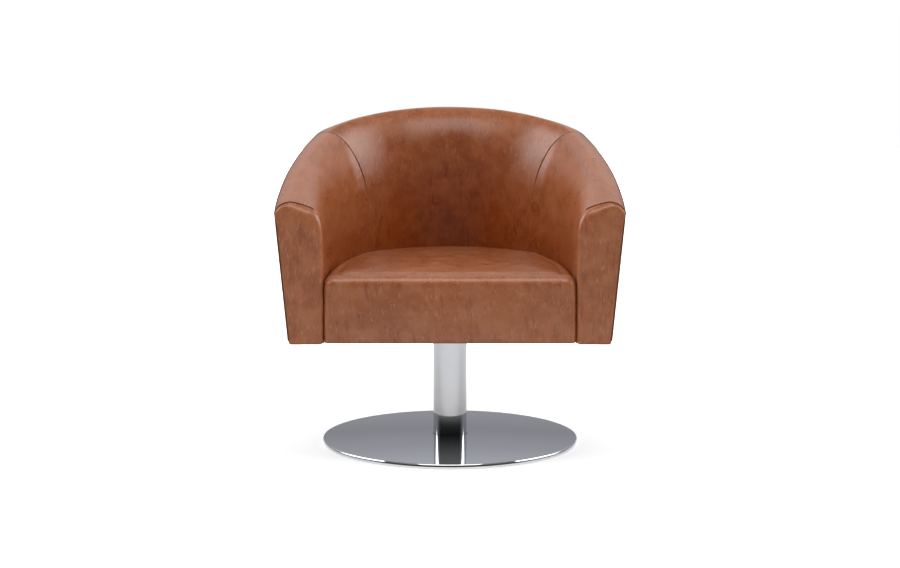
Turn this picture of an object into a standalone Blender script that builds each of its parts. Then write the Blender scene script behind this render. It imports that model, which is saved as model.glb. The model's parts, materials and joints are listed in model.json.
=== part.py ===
"""Upholstered tub chair that swivels on a round pedestal base, built from its separate pieces.

Lengths are in metres. The floor is z = 0, the swivel axis is the Z axis, and the chair faces -Y.
The tub is drawn as sections across its rim. A section's points are (depth, height): depth is
measured inwards from the outermost line of the rim, and height from the floor.
"""

import collections
import math

import bmesh
import bpy
from mathutils import Matrix, Vector

# Fits between pieces
GAP = 0.0003
BUSH_CLEARANCE = 0.0004
SEAT_CLEARANCE = 0.0005
CUT_OVERRUN = 0.002

# Sheet materials
LEATHER = 0.0016
BOARD = 0.003
CLOTH = 0.0006

# Plan of the rim: straight arms, a long side bow, a tight rear corner and a round back
SHELL_WIDTH = 0.744
ARM_STRAIGHT = 0.1154
SIDE_BOW_RADIUS = 1.8
SIDE_BOW_ANGLE = math.radians(12.5)
CORNER_RADIUS = 0.165
CORNER_END_ANGLE = math.radians(36.0)
BACK_SEAM_ANGLE = math.radians(30.0)

# Heights of the tub
SHELL_BOTTOM = 0.284
RIM_FRONT_HEIGHT = 0.571
RIM_BACK_HEIGHT = 0.7915
SEAT_CONTACT_HEIGHT = 0.425

# Section of the tub: outer wall, then the padded roll from the rim over to the inner wall
WALL_TAPER_SHARE = 0.094
CROWN_DEPTH_FRONT = 0.034
CROWN_DEPTH_BACK = 0.034
CROWN_RISE_FRONT = 0.0125
CROWN_RISE_BACK = 0.008
INNER_WALL_FRONT = 0.103
INNER_WALL_BACK = 0.088
ROLL_DROP_FRONT = 0.08
ROLL_DROP_BACK = 0.1
ROLL_POWER_FRONT_SHARE = 0.75
ROLL_POWER_BACK_SHARE = 1.0
BACK_LEAN_SHARE = 0.1
ROLL_STEPS = 5
BOTTOM_ROUND = 0.006
LEATHER_TURN_UNDER = 0.025

# Welts and arm facings
WELT_RADIUS = 0.0015
WELT_SIDES = 6
FACING_ROUND = 0.006
FACING_CORNER = 0.008
FACING_WELT_REACH = 0.08
FACING_STEPS = 3

# Frame inside the tub
BOTTOM_RAIL_HEIGHT = 0.045
TOP_RAIL_HEIGHT = 0.022
TOP_RAIL_COVER = 0.022
FRAME_DEPTH = 0.034
POST_WIDTH = 0.045
REAR_POST_DISTANCE = 0.47

# Seat unit
SEAT_BOTTOM = 0.2872
SEAT_PROUD = 0.004
SEAT_CORNER = 0.012
SEAT_EDGE_HEIGHT = 0.4
SEAT_BACK_RISE = 0.018
SEAT_ROLL_RISE = 0.028
SEAT_CROWN_RISE = 0.017
SEAT_ROLL_SHARE = 0.91
SEAT_CROWN_SHARES = (0.66, 0.33)
SEAT_ROLL_STEPS = 3
SEAT_BOTTOM_CHAMFER = 0.0012
SEAT_TURN_UNDER = 0.02
DECK_THICKNESS = 0.018
SEAT_EDGE_PADDING = 0.0305
SEAT_RAIL_THICKNESS = 0.02
DIAPHRAGM_THICKNESS = 0.0015
DIAPHRAGM_MARGIN = 0.004

# Bolts that join the seat unit to the tub
FRAME_BOLT_RADIUS = 0.004
FRAME_BOLT_HEAD_RADIUS = 0.0065
FRAME_BOLT_HEAD_HEIGHT = 0.005
FRAME_BOLT_RISE = 0.0126
FRAME_BOLT_GRIP = 0.03
FRONT_BOLT_STEPS = 2
REAR_BOLT_STEPS = 4

# Dust cover under the tub
DUST_COVER_FRONT_MARGIN = 0.02
DUST_COVER_PLATE_MARGIN = 0.003

# Swivel: plate under the seat, spindle, bushes and their housing
PLATE_SIZE = 0.2
PLATE_THICKNESS = 0.005
PLATE_CORNER = 0.012
PLATE_BOLT_OFFSET = 0.08
PLATE_BOLT_RADIUS = 0.004
PLATE_BOLT_HEAD_RADIUS = 0.0075
PLATE_BOLT_HEAD_HEIGHT = 0.0055
PLATE_BOLT_FLANGE_RADIUS = 0.009
PLATE_BOLT_FLANGE = 0.0015
PLATE_BOLT_PAST_DECK = 0.001
TEE_NUT_FLANGE_RADIUS = 0.011
TEE_NUT_FLANGE = 0.0015
TEE_NUT_BARREL_RADIUS = 0.0054
TEE_NUT_BARREL_LENGTH = 0.012
SPINDLE_RADIUS = 0.014
SPINDLE_TAIL = 0.006
GROOVE_DEPTH = 0.002
RING_THICKNESS = 0.0015
RING_RADIUS = 0.019
RING_OPENING = math.radians(40.0)
BUSH_WALL = 0.004
BUSH_LENGTH = 0.02
UPPER_BUSH_FLANGE = 0.003
UPPER_BUSH_FLANGE_RADIUS = 0.034
LOWER_BUSH_FLANGE = 0.002
LOWER_BUSH_FLANGE_RADIUS = 0.025
HOUSING_FLANGE = 0.004
HOUSING_LENGTH = 0.07

# Column and base
COLUMN_RADIUS = 0.04
COLUMN_WALL = 0.003
COLUMN_FOOT_HEIGHT = 0.02
BASE_RADIUS = 0.305
BASE_RIM_HEIGHT = 0.0084
BASE_DOME_RISE = 0.006
BASE_EDGE_ROUND = 0.0018
BASE_COVER_THICKNESS = 0.0015
BASE_COVER_LIFT = 0.0006
BASE_SCREW_CIRCLE = 0.022
BASE_SCREW_RADIUS = 0.004
BASE_SCREW_HEAD_RADIUS = 0.0065
BASE_SCREW_HEAD_HEIGHT = 0.005
BASE_SCREW_SOCKET_RADIUS = 0.0025
BASE_SCREW_SOCKET_DEPTH = 0.003
BASE_SCREW_TAIL = 0.003
HEAD_CLEARANCE = 0.001
FLOOR_RING_SETBACK = 0.005
FLOOR_RING_WIDTH = 0.018
FLOOR_RING_HEIGHT = 0.002
DOME_SHARES = (0.9, 0.6)

# Facet counts
BASE_SIDES = 64
COLUMN_SIDES = 32
SPINDLE_SIDES = 24
BOLT_SIDES = 8

# Colours, roughness and metallic value of each finish
FINISHES = {
    "leather": ((0.32, 0.12, 0.06), 0.42, 0.0),
    "leather_edge": ((0.13, 0.05, 0.03), 0.5, 0.0),
    "foam": ((0.83, 0.78, 0.62), 0.95, 0.0),
    "timber": ((0.62, 0.44, 0.26), 0.7, 0.0),
    "plywood": ((0.7, 0.53, 0.33), 0.65, 0.0),
    "fibreboard": ((0.4, 0.28, 0.17), 0.8, 0.0),
    "webbing": ((0.1, 0.1, 0.11), 0.9, 0.0),
    "lining": ((0.03, 0.03, 0.032), 0.95, 0.0),
    "polished steel": ((0.62, 0.63, 0.64), 0.12, 1.0),
    "zinc": ((0.6, 0.61, 0.6), 0.35, 1.0),
    "black steel": ((0.04, 0.04, 0.045), 0.5, 0.6),
    "cast iron": ((0.08, 0.08, 0.085), 0.7, 0.7),
    "nylon": ((0.86, 0.84, 0.78), 0.45, 0.0),
    "rubber": ((0.025, 0.025, 0.025), 0.85, 0.0),
}

# Places that follow from the sizes above
BACK_RADIUS = (
    SHELL_WIDTH / 2
    - SIDE_BOW_RADIUS * (1 - math.cos(SIDE_BOW_ANGLE))
    - CORNER_RADIUS * (math.cos(SIDE_BOW_ANGLE) - math.cos(CORNER_END_ANGLE))
) / math.cos(CORNER_END_ANGLE)
SHELL_DEPTH = (
    ARM_STRAIGHT
    + SIDE_BOW_RADIUS * math.sin(SIDE_BOW_ANGLE)
    + CORNER_RADIUS * (math.sin(CORNER_END_ANGLE) - math.sin(SIDE_BOW_ANGLE))
    + BACK_RADIUS * (1 - math.sin(CORNER_END_ANGLE))
)
SHELL_FRONT = (SEAT_PROUD - SHELL_DEPTH) / 2
SEAT_FRONT = SHELL_FRONT - SEAT_PROUD
RAIL_BOTTOM = SHELL_BOTTOM + LEATHER + GAP
RAIL_TOP = RAIL_BOTTOM + BOTTOM_RAIL_HEIGHT
FRAME_SETBACK = LEATHER + BOARD + 2 * GAP
SKIN = LEATHER + GAP
DECK_BOTTOM = SEAT_BOTTOM + SKIN
DECK_TOP = DECK_BOTTOM + DECK_THICKNESS
SEAT_RAIL_BOTTOM = DECK_TOP + GAP
SEAT_FOAM_BOTTOM = SEAT_EDGE_HEIGHT - SEAT_EDGE_PADDING
DIAPHRAGM_BOTTOM = SEAT_FOAM_BOTTOM - GAP - DIAPHRAGM_THICKNESS
SEAT_RAIL_TOP = DIAPHRAGM_BOTTOM - GAP
FRAME_BOLT_HEIGHT = SEAT_RAIL_BOTTOM + FRAME_BOLT_RISE
PLATE_TOP = DECK_BOTTOM - GAP
PLATE_BOTTOM = PLATE_TOP - PLATE_THICKNESS
UPPER_BUSH_TOP = PLATE_BOTTOM - GAP
HOUSING_TOP = UPPER_BUSH_TOP - UPPER_BUSH_FLANGE - GAP
COLUMN_TOP = HOUSING_TOP - HOUSING_FLANGE - GAP
HOUSING_BOTTOM = COLUMN_TOP - HOUSING_LENGTH
LOWER_BUSH_BOTTOM = HOUSING_BOTTOM - GAP - LOWER_BUSH_FLANGE
RING_TOP = LOWER_BUSH_BOTTOM - GAP
SPINDLE_BOTTOM = RING_TOP - RING_THICKNESS - GAP - SPINDLE_TAIL
SPINDLE_BORE = SPINDLE_RADIUS + BUSH_CLEARANCE
HOUSING_BORE = SPINDLE_BORE + BUSH_WALL + GAP
COLUMN_BORE = COLUMN_RADIUS - COLUMN_WALL
FLOOR_RING_RADIUS = BASE_RADIUS - FLOOR_RING_SETBACK
WEIGHT_BOTTOM = FLOOR_RING_HEIGHT + GAP


def dome_height(radius):
    """Height of the base cover's top surface at a distance from the axis."""
    return BASE_RIM_HEIGHT + BASE_DOME_RISE * (1 - (radius / BASE_RADIUS) ** 2)


WEIGHT_TOP = dome_height(COLUMN_RADIUS) - BASE_COVER_THICKNESS - GAP
COLUMN_BOTTOM = WEIGHT_TOP + GAP
COLUMN_FOOT_TOP = COLUMN_BOTTOM + COLUMN_FOOT_HEIGHT


# Objects and meshes


def clear_scene():
    for thing in list(bpy.data.objects):
        bpy.data.objects.remove(thing, do_unlink=True)


def give_finish(thing, finish):
    colour, roughness, metallic = FINISHES[finish]
    material = bpy.data.materials.new(thing.name)
    material.use_nodes = True
    shader = material.node_tree.nodes["Principled BSDF"]
    shader.inputs["Base Color"].default_value = (*colour, 1.0)
    shader.inputs["Roughness"].default_value = roughness
    shader.inputs["Metallic"].default_value = metallic
    thing.data.materials.append(material)


def place(name, data, finish):
    thing = bpy.data.objects.new(name, data)
    bpy.context.scene.collection.objects.link(thing)
    if finish:
        give_finish(thing, finish)
    return thing


def finished_mesh(name, bm, finish, smooth=True):
    """Turns the faces outwards, stores the mesh and links its object."""
    bmesh.ops.recalc_face_normals(bm, faces=bm.faces)
    mesh = bpy.data.meshes.new(name)
    bm.to_mesh(mesh)
    bm.free()
    if smooth:
        mesh.shade_smooth()
        mesh.set_sharp_from_angle(angle=math.radians(35.0))
    return place(name, mesh, finish)


def add_ring(bm, points):
    return [bm.verts.new(point) for point in points]


def bridge(bm, lower, upper):
    """Joins two closed rings of vertices; an upper ring of one vertex is a pole.

    Each four-sided face is split at its highest corner, or the outer one of two such corners,
    so that sheets that lie on each other are split alike.
    """
    count = len(lower)
    for index in range(count):
        after = (index + 1) % count
        if len(upper) == 1:
            bm.faces.new((lower[index], lower[after], upper[0]))
            continue
        corners = [lower[index], lower[after], upper[after], upper[index]]
        while max(corners, key=lambda corner: (corner.co.z, corner.co.xy.length)) != corners[0]:
            corners.append(corners.pop(0))
        bm.faces.new(corners[:3])
        bm.faces.new((corners[0], corners[2], corners[3]))


def add_stack(bm, rings):
    """Adds rings of points and the walls between each ring and the next."""
    rows = [add_ring(bm, points) for points in rings]
    for lower, upper in zip(rows, rows[1:]):
        bridge(bm, lower, upper)
    return rows


def capped_stack(name, rings, finish):
    """A solid of rings, closed with a flat face where its ends aren't poles."""
    bm = bmesh.new()
    rows = add_stack(bm, rings)
    for row in (rows[0], rows[-1]):
        if len(row) > 1:
            bm.faces.new(row)
    return finished_mesh(name, bm, finish)


def turned(name, outline, sides, finish):
    """Turns a closed outline of (radius, height) points about the Z axis."""
    bm = bmesh.new()
    start = add_ring(bm, [(radius, 0, height) for radius, height in outline])
    edges = [bm.edges.new((start[i], start[(i + 1) % len(start)])) for i in range(len(start))]
    on_axis = [edge for edge in edges if all(outline[start.index(v)][0] == 0 for v in edge.verts)]
    bmesh.ops.spin(
        bm,
        geom=[edge for edge in edges if edge not in on_axis],
        axis=(0, 0, 1),
        cent=(0, 0, 0),
        steps=sides,
        angle=2 * math.pi,
        use_merge=True,
    )
    bmesh.ops.delete(bm, geom=on_axis, context="EDGES_FACES")
    bmesh.ops.remove_doubles(bm, verts=bm.verts, dist=GAP / 100)
    return finished_mesh(name, bm, finish)


def prism(name, outline, bottom, top, finish):
    """A flat plate: an outline of (x, y) points between two heights."""
    rings = [[(x, y, height) for x, y in outline] for height in (bottom, top)]
    return capped_stack(name, rings, finish)


def circle(radius, sides, centre=(0, 0)):
    steps = [2 * math.pi * index / sides for index in range(sides)]
    return [(centre[0] + radius * math.cos(a), centre[1] + radius * math.sin(a)) for a in steps]


def finished_guide(name, bm):
    """A shape that only cuts other pieces and isn't part of the chair."""
    guide = finished_mesh(name, bm, None, smooth=False)
    guide.hide_render = True
    guide.display_type = "WIRE"
    return guide


def cutter(name, shapes):
    """Closed prisms of (outline, bottom, top), joined as one guide."""
    bm = bmesh.new()
    for outline, bottom, top in shapes:
        rows = add_stack(bm, [[(x, y, height) for x, y in outline] for height in (bottom, top)])
        for row in rows:
            bm.faces.new(row)
    return finished_guide(name, bm)


def cut(thing, guide):
    boolean = thing.modifiers.new(guide.name, "BOOLEAN")
    boolean.operation = "DIFFERENCE"
    boolean.solver = "EXACT"
    boolean.object = guide


# Lines in a section


def unit(vector):
    length = math.hypot(*vector)
    return vector[0] / length, vector[1] / length


def offset_line(points, distance, closed=False):
    """Moves a line of points to its right-hand side, seen along its run."""
    moved = []
    count = len(points)
    for index, point in enumerate(points):
        before = points[index - 1] if closed or index > 0 else None
        after = points[(index + 1) % count] if closed or index < count - 1 else None
        runs = []
        if before:
            runs.append(unit((point[0] - before[0], point[1] - before[1])))
        if after:
            runs.append(unit((after[0] - point[0], after[1] - point[1])))
        sides = [(run[1], -run[0]) for run in runs]
        across = unit((sum(side[0] for side in sides), sum(side[1] for side in sides)))
        stretch = across[0] * sides[0][0] + across[1] * sides[0][1]
        reach = distance / stretch
        moved.append((point[0] + across[0] * reach, point[1] + across[1] * reach))
    return moved


def strip(points, thickness):
    """A closed outline of a sheet whose outer face follows a line."""
    return points + offset_line(points, thickness)[::-1]


def quarter_turn(centre, radius, start, steps):
    """Points on a quarter circle that turns clockwise from a starting angle."""
    angles = [start - math.pi / 2 * index / steps for index in range(steps + 1)]
    return [(centre[0] + radius * math.cos(a), centre[1] + radius * math.sin(a)) for a in angles]


# Stations along the rim

Station = collections.namedtuple("Station", "distance x y inward_x inward_y rim back")


def smooth_share(share):
    return share * share * (3 - 2 * share)


def rim_point(x, y, angle, distance):
    """A station on the +X half of the rim, where the outward direction has this angle."""
    along = (y - SHELL_FRONT) / SHELL_DEPTH
    rim = RIM_FRONT_HEIGHT + (RIM_BACK_HEIGHT - RIM_FRONT_HEIGHT) * along
    back = smooth_share(min(max(along, 0), 1))
    return Station(distance, x, y, -math.cos(angle), -math.sin(angle), rim, back)


def half_rim():
    """Stations from the arm's front to the middle of the back, on the +X half."""
    stations = []
    for share in (0, 0.5):
        reach = ARM_STRAIGHT * share
        stations.append(rim_point(SHELL_WIDTH / 2, SHELL_FRONT + reach, 0, reach))
    x = SHELL_WIDTH / 2
    y = SHELL_FRONT + ARM_STRAIGHT
    distance = ARM_STRAIGHT
    arcs = (
        (SIDE_BOW_RADIUS, 0, SIDE_BOW_ANGLE, 4),
        (CORNER_RADIUS, SIDE_BOW_ANGLE, BACK_SEAM_ANGLE, 2),
        (CORNER_RADIUS, BACK_SEAM_ANGLE, CORNER_END_ANGLE, 1),
        (BACK_RADIUS, CORNER_END_ANGLE, math.pi / 2, 6),
    )
    for radius, start, end, steps in arcs:
        centre_x = x - radius * math.cos(start)
        centre_y = y - radius * math.sin(start)
        for step in range(steps):
            angle = start + (end - start) * step / steps
            point_x = centre_x + radius * math.cos(angle)
            point_y = centre_y + radius * math.sin(angle)
            reach = distance + radius * (angle - start)
            stations.append(rim_point(point_x, point_y, angle, reach))
        x = centre_x + radius * math.cos(end)
        y = centre_y + radius * math.sin(end)
        distance += radius * (end - start)
    stations.append(rim_point(0, y, math.pi / 2, distance))
    return stations


HALF_RIM = half_rim()
HALF_LENGTH = HALF_RIM[-1].distance
RIM_LENGTH = 2 * HALF_LENGTH
SEAM_DISTANCE = (
    ARM_STRAIGHT + SIDE_BOW_RADIUS * SIDE_BOW_ANGLE + CORNER_RADIUS * (BACK_SEAM_ANGLE - SIDE_BOW_ANGLE)
)


def station(distance):
    """The rim at a distance from the right arm's front, on straight runs between its stations."""
    mirrored = distance > HALF_LENGTH
    reach = RIM_LENGTH - distance if mirrored else distance
    after = next(i for i, s in enumerate(HALF_RIM) if i and s.distance >= reach - GAP / 100)
    low, high = HALF_RIM[after - 1], HALF_RIM[after]
    share = (reach - low.distance) / (high.distance - low.distance)
    values = [a + (b - a) * share for a, b in zip(low, high)]
    here = Station(*values)
    if mirrored:
        here = here._replace(distance=distance, x=-here.x, inward_x=-here.inward_x)
    return here


def stations_between(start, end):
    """Stations at both ends of a stretch and at each station of the rim between them."""
    known = [s.distance for s in HALF_RIM]
    known += [RIM_LENGTH - distance for distance in known]
    inner = sorted({round(d, 9) for d in known if start + GAP < d < end - GAP})
    return [station(distance) for distance in (start, *inner, end)]


def at_depth(here, depth, height):
    return here.x + here.inward_x * depth, here.y + here.inward_y * depth, height


def loft(name, start, end, section, finish):
    """A solid along the rim, from the section outline at each of its stations."""
    rings = [
        [at_depth(here, depth, height) for depth, height in section(here)]
        for here in stations_between(start, end)
    ]
    return capped_stack(name, rings, finish)


# Section lines of the tub


def blend(front, back, here):
    return front + (back - front) * here.back


def wall_depth(here, height):
    """Depth of the outer wall, which draws in towards the bottom."""
    return WELT_RADIUS + WALL_TAPER_SHARE * (here.rim - height)


def frame_depth(here, height):
    return wall_depth(here, height) + FRAME_SETBACK


def crest_height(here):
    return here.rim + blend(CROWN_RISE_FRONT, CROWN_RISE_BACK, here)


def lean_share(here):
    return BACK_LEAN_SHARE * here.back ** 2


def inner_wall_depth(here):
    """Depth of the inner wall beside the seat."""
    drop = crest_height(here) - SEAT_CONTACT_HEIGHT
    return blend(INNER_WALL_FRONT, INNER_WALL_BACK, here) + lean_share(here) * drop


def padded_line(here, bottom):
    """The padded surface from the rim's welt over the roll and down the inner wall."""
    crown = blend(CROWN_DEPTH_FRONT, CROWN_DEPTH_BACK, here)
    rise = blend(CROWN_RISE_FRONT, CROWN_RISE_BACK, here)
    wall = blend(INNER_WALL_FRONT, INNER_WALL_BACK, here)
    drop = blend(ROLL_DROP_FRONT, ROLL_DROP_BACK, here)
    power = blend(ROLL_POWER_FRONT_SHARE, ROLL_POWER_BACK_SHARE, here)
    outer = frame_depth(here, here.rim)
    depths = (2 * WELT_RADIUS + GAP, outer, (outer + crown) / 2, crown)
    points = [(d, here.rim + rise * (1 - (1 - d / crown) ** 2)) for d in depths]
    for step in range(1, ROLL_STEPS + 1):
        angle = math.pi / 2 * step / ROLL_STEPS
        across = (wall - crown) * math.sin(angle) ** power
        down = drop * (1 - max(math.cos(angle), 0) ** power)
        points.append((crown + across + lean_share(here) * down, here.rim + rise - down))
    points.append((inner_wall_depth(here), SEAT_CONTACT_HEIGHT))
    points.append((inner_wall_depth(here), bottom))
    return points


def outside_line(here):
    """The outer wall from its turned-under edge up to the rim's welt."""
    top = here.rim - WELT_RADIUS - GAP
    wall = wall_depth(here, SHELL_BOTTOM + BOTTOM_ROUND)
    centre = (wall + BOTTOM_ROUND, SHELL_BOTTOM + BOTTOM_ROUND)
    corner = quarter_turn(centre, BOTTOM_ROUND, -math.pi / 2, 3)
    return [(wall + LEATHER_TURN_UNDER, SHELL_BOTTOM), *corner, (wall_depth(here, top), top)]


def end_outline(here):
    """The whole outline of an arm's end, clockwise from the rim."""
    bottom = SHELL_BOTTOM
    inner = inner_wall_depth(here)
    outer = wall_depth(here, bottom + FACING_CORNER)
    inner_corner = quarter_turn(
        (inner - FACING_CORNER, bottom + FACING_CORNER), FACING_CORNER, 0, 3
    )
    outer_corner = quarter_turn(
        (outer + FACING_CORNER, bottom + FACING_CORNER), FACING_CORNER, -math.pi / 2, 3
    )
    top = [(WELT_RADIUS, here.rim)] + padded_line(here, bottom)[1:-1]
    return top + inner_corner + outer_corner


# Pieces of the tub


def sides_of_rim(front_gap):
    """The right arm, left arm and back as stretches along the rim."""
    half_gap = GAP / 2
    return (
        ("right", front_gap, SEAM_DISTANCE - half_gap),
        ("left", RIM_LENGTH - SEAM_DISTANCE + half_gap, RIM_LENGTH - front_gap),
        ("back", SEAM_DISTANCE + half_gap, RIM_LENGTH - SEAM_DISTANCE - half_gap),
    )


def piece_name(side, arm_name, back_name):
    return back_name if side == "back" else f"{arm_name}_{side}"


def make_inside_leathers():
    """The leather inside the arms and back, over the roll to the rim's welt."""
    pieces = []

    def section(here):
        return strip(padded_line(here, RAIL_BOTTOM), LEATHER)

    for side, start, end in sides_of_rim(FACING_ROUND + GAP):
        name = piece_name(side, "inside_arm_leather", "inside_back_leather")
        pieces.append(loft(name, start, end, section, "leather"))
    return pieces


def make_outside_leathers():
    """The leather outside the arms and back, from the rim's welt to under the tub."""

    def section(here):
        return strip(outside_line(here), LEATHER)

    for side, start, end in sides_of_rim(FACING_ROUND + 2 * WELT_RADIUS + 2 * GAP):
        name = piece_name(side, "outside_arm_leather", "outside_back_leather")
        loft(name, start, end, section, "leather")


def foam_section(here):
    """Foam over the top rail and down the inner face of the frame."""
    rail_top = crest_height(here) - TOP_RAIL_COVER
    skin = offset_line(padded_line(here, RAIL_TOP + GAP), SKIN)
    return skin[1:] + [
        (frame_depth(here, RAIL_TOP) + FRAME_DEPTH + GAP, RAIL_TOP + GAP),
        (frame_depth(here, rail_top) + FRAME_DEPTH + GAP, rail_top + GAP),
        (frame_depth(here, rail_top) + GAP, rail_top + GAP),
    ]


def make_foams():
    for side, start, end in sides_of_rim(FACING_ROUND + GAP):
        loft(piece_name(side, "arm_foam", "back_foam"), start, end, foam_section, "foam")


def frame_section(here, bottom, top, inner=None):
    """A rail or post against the outer board, from one height to another."""
    low = frame_depth(here, bottom)
    high = frame_depth(here, top)
    inner_low = inner or low + FRAME_DEPTH
    inner_high = inner or high + FRAME_DEPTH
    return [(low, bottom), (high, top), (inner_high, top), (inner_low, bottom)]


def make_rails_and_posts():
    front = FACING_ROUND + GAP

    def bottom_section(here):
        return frame_section(here, RAIL_BOTTOM, RAIL_TOP, inner_wall_depth(here) - SKIN)

    def top_section(here):
        top = crest_height(here) - TOP_RAIL_COVER
        return frame_section(here, top - TOP_RAIL_HEIGHT, top)

    def post_section(here):
        top = crest_height(here) - TOP_RAIL_COVER - TOP_RAIL_HEIGHT
        return frame_section(here, RAIL_TOP + GAP, top - GAP)

    rail = loft("bottom_rail", front, RIM_LENGTH - front, bottom_section, "timber")
    loft("top_rail", front, RIM_LENGTH - front, top_section, "plywood")
    middles = {
        "front_post_right": front + POST_WIDTH / 2,
        "rear_post_right": REAR_POST_DISTANCE,
        "back_post": HALF_LENGTH,
        "rear_post_left": RIM_LENGTH - REAR_POST_DISTANCE,
        "front_post_left": RIM_LENGTH - front - POST_WIDTH / 2,
    }
    for name, middle in middles.items():
        loft(name, middle - POST_WIDTH / 2, middle + POST_WIDTH / 2, post_section, "timber")
    return rail


def make_outer_board():
    def section(here):
        bottom = SHELL_BOTTOM + BOTTOM_ROUND
        top = here.rim - WELT_RADIUS
        low = wall_depth(here, bottom) + SKIN
        high = wall_depth(here, top) + SKIN
        return [(low, bottom), (high, top), (high + BOARD, top), (low + BOARD, bottom)]

    front = FACING_ROUND + GAP
    loft("outer_board", front, RIM_LENGTH - front, section, "fibreboard")


def facing_ring(sign, inset, forward):
    """An arm's end outline at a distance behind its front, drawn in by an inset."""
    points = offset_line(end_outline(station(forward)), inset, closed=True)
    return [
        (sign * (SHELL_WIDTH / 2 - depth), SHELL_FRONT + forward, height)
        for depth, height in points
    ]


def make_facings():
    """A board at each arm's front, and the leather wrapped over it."""
    inner_round = FACING_ROUND - LEATHER
    for side, sign in (("right", 1), ("left", -1)):
        rings = []
        for step in range(FACING_STEPS + 1):
            angle = math.pi / 2 * step / FACING_STEPS
            inset = FACING_ROUND * (1 - math.sin(angle))
            forward = FACING_ROUND * (1 - math.cos(angle))
            rings.append(facing_ring(sign, inset, forward))
        for angle in (math.pi / 2, math.pi / 4, 0):
            inset = FACING_ROUND - inner_round * math.sin(angle)
            forward = FACING_ROUND - inner_round * math.cos(angle)
            rings.append(facing_ring(sign, inset, forward))
        capped_stack(f"facing_leather_{side}", rings, "leather")
        board = [
            facing_ring(sign, FACING_ROUND + GAP, forward)
            for forward in (LEATHER + GAP, FACING_ROUND)
        ]
        capped_stack(f"facing_board_{side}", board, "plywood")


def make_rim_welt():
    """The piping along the rim's outer edge."""
    front = FACING_ROUND + 2 * WELT_RADIUS + 2 * GAP

    def section(here):
        return circle(WELT_RADIUS, WELT_SIDES, (WELT_RADIUS, here.rim))

    loft("rim_welt", front, RIM_LENGTH - front, section, "leather_edge")


def make_facing_welts():
    """The piping up each facing's outer edge and over the arm as far as its seam runs."""
    setback = FACING_ROUND + GAP + WELT_RADIUS
    here = station(setback)
    bottom = SHELL_BOTTOM + FACING_CORNER
    top = here.rim + 2 * WELT_RADIUS
    over = [point for point in padded_line(here, bottom) if point[0] < FACING_WELT_REACH]
    path = [(wall_depth(here, bottom), bottom), (WELT_RADIUS, here.rim), (WELT_RADIUS, top)]
    path += offset_line(over, -WELT_RADIUS - GAP)
    for side, sign in (("right", 1), ("left", -1)):
        curve = bpy.data.curves.new(f"facing_welt_{side}", "CURVE")
        curve.dimensions = "3D"
        curve.bevel_depth = WELT_RADIUS
        curve.bevel_resolution = 1
        curve.use_fill_caps = True
        spline = curve.splines.new("POLY")
        spline.points.add(len(path) - 1)
        for point, (depth, height) in zip(spline.points, path):
            point.co = (sign * (SHELL_WIDTH / 2 - depth), SHELL_FRONT + setback, height, 1)
        place(curve.name, curve, "leather_edge")


# Pieces of the seat unit


def seat_outline(inset):
    """Plan of the seat unit, drawn in by an inset, anticlockwise from the front's right corner."""
    corner = max(SEAT_CORNER - inset, LEATHER)
    front = SEAT_FRONT + inset
    walls = []
    for here in stations_between(ARM_STRAIGHT / 2, RIM_LENGTH - ARM_STRAIGHT / 2):
        x, y, _ = at_depth(here, inner_wall_depth(here) + SEAT_CLEARANCE + inset, 0)
        walls.append((x, y))
    side = SHELL_WIDTH / 2 - inner_wall_depth(station(0)) - SEAT_CLEARANCE - inset
    right = quarter_turn((side - corner, front + corner), corner, 0, 2)[::-1]
    left = [(-x, y) for x, y in right[::-1]]
    middle = [(side * share, front) for share in (-0.5, 0, 0.5)]
    return right + walls + left + middle


def seat_ring(inset, height):
    return [(x, y, height) for x, y in seat_outline(inset)]


def seat_top_rings(inset):
    """The rolled edge and crown of the seat, from the side wall's top to the middle.

    The top climbs towards the back, where the seat meets the tub at a greater height.
    """
    back = at_depth(station(HALF_LENGTH), inner_wall_depth(station(HALF_LENGTH)), 0)[1]
    centre = (SEAT_FRONT + back) / 2
    outline = seat_outline(inset)

    def ring(height, share):
        points = []
        for x, y in outline:
            shrunk = centre + (y - centre) * share
            climb = SEAT_BACK_RISE * ((shrunk - SEAT_FRONT) / (back - SEAT_FRONT)) ** 3
            points.append((x * share, shrunk, height + climb))
        return points

    rings = []
    for step in range(SEAT_ROLL_STEPS + 1):
        angle = math.pi / 2 * step / SEAT_ROLL_STEPS
        share = 1 - (1 - SEAT_ROLL_SHARE) * (1 - math.cos(angle))
        rings.append(ring(SEAT_EDGE_HEIGHT + SEAT_ROLL_RISE * math.sin(angle) - inset, share))
    roll_top = SEAT_EDGE_HEIGHT + SEAT_ROLL_RISE - inset
    for share in SEAT_CROWN_SHARES:
        crown = SEAT_CROWN_RISE * (1 - (share / SEAT_ROLL_SHARE) ** 3)
        rings.append(ring(roll_top + crown, share))
    rings.append(ring(roll_top + SEAT_CROWN_RISE, 0)[:1])
    return rings


def make_seat_leather():
    outer = [
        seat_ring(SEAT_TURN_UNDER, SEAT_BOTTOM),
        seat_ring(SEAT_BOTTOM_CHAMFER, SEAT_BOTTOM),
        seat_ring(0, SEAT_BOTTOM + SEAT_BOTTOM_CHAMFER),
    ] + seat_top_rings(0)
    inner = [
        seat_ring(SEAT_TURN_UNDER, SEAT_BOTTOM + LEATHER),
        seat_ring(LEATHER, SEAT_BOTTOM + LEATHER),
    ] + seat_top_rings(LEATHER)
    bm = bmesh.new()
    outer_rows = add_stack(bm, outer)
    inner_rows = add_stack(bm, inner)
    bridge(bm, outer_rows[0], inner_rows[0])
    return finished_mesh("seat_leather", bm, "leather")


def make_seat_foam():
    rings = [seat_ring(SKIN, SEAT_FOAM_BOTTOM)] + seat_top_rings(SKIN)
    capped_stack("seat_foam", rings, "foam")


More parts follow.
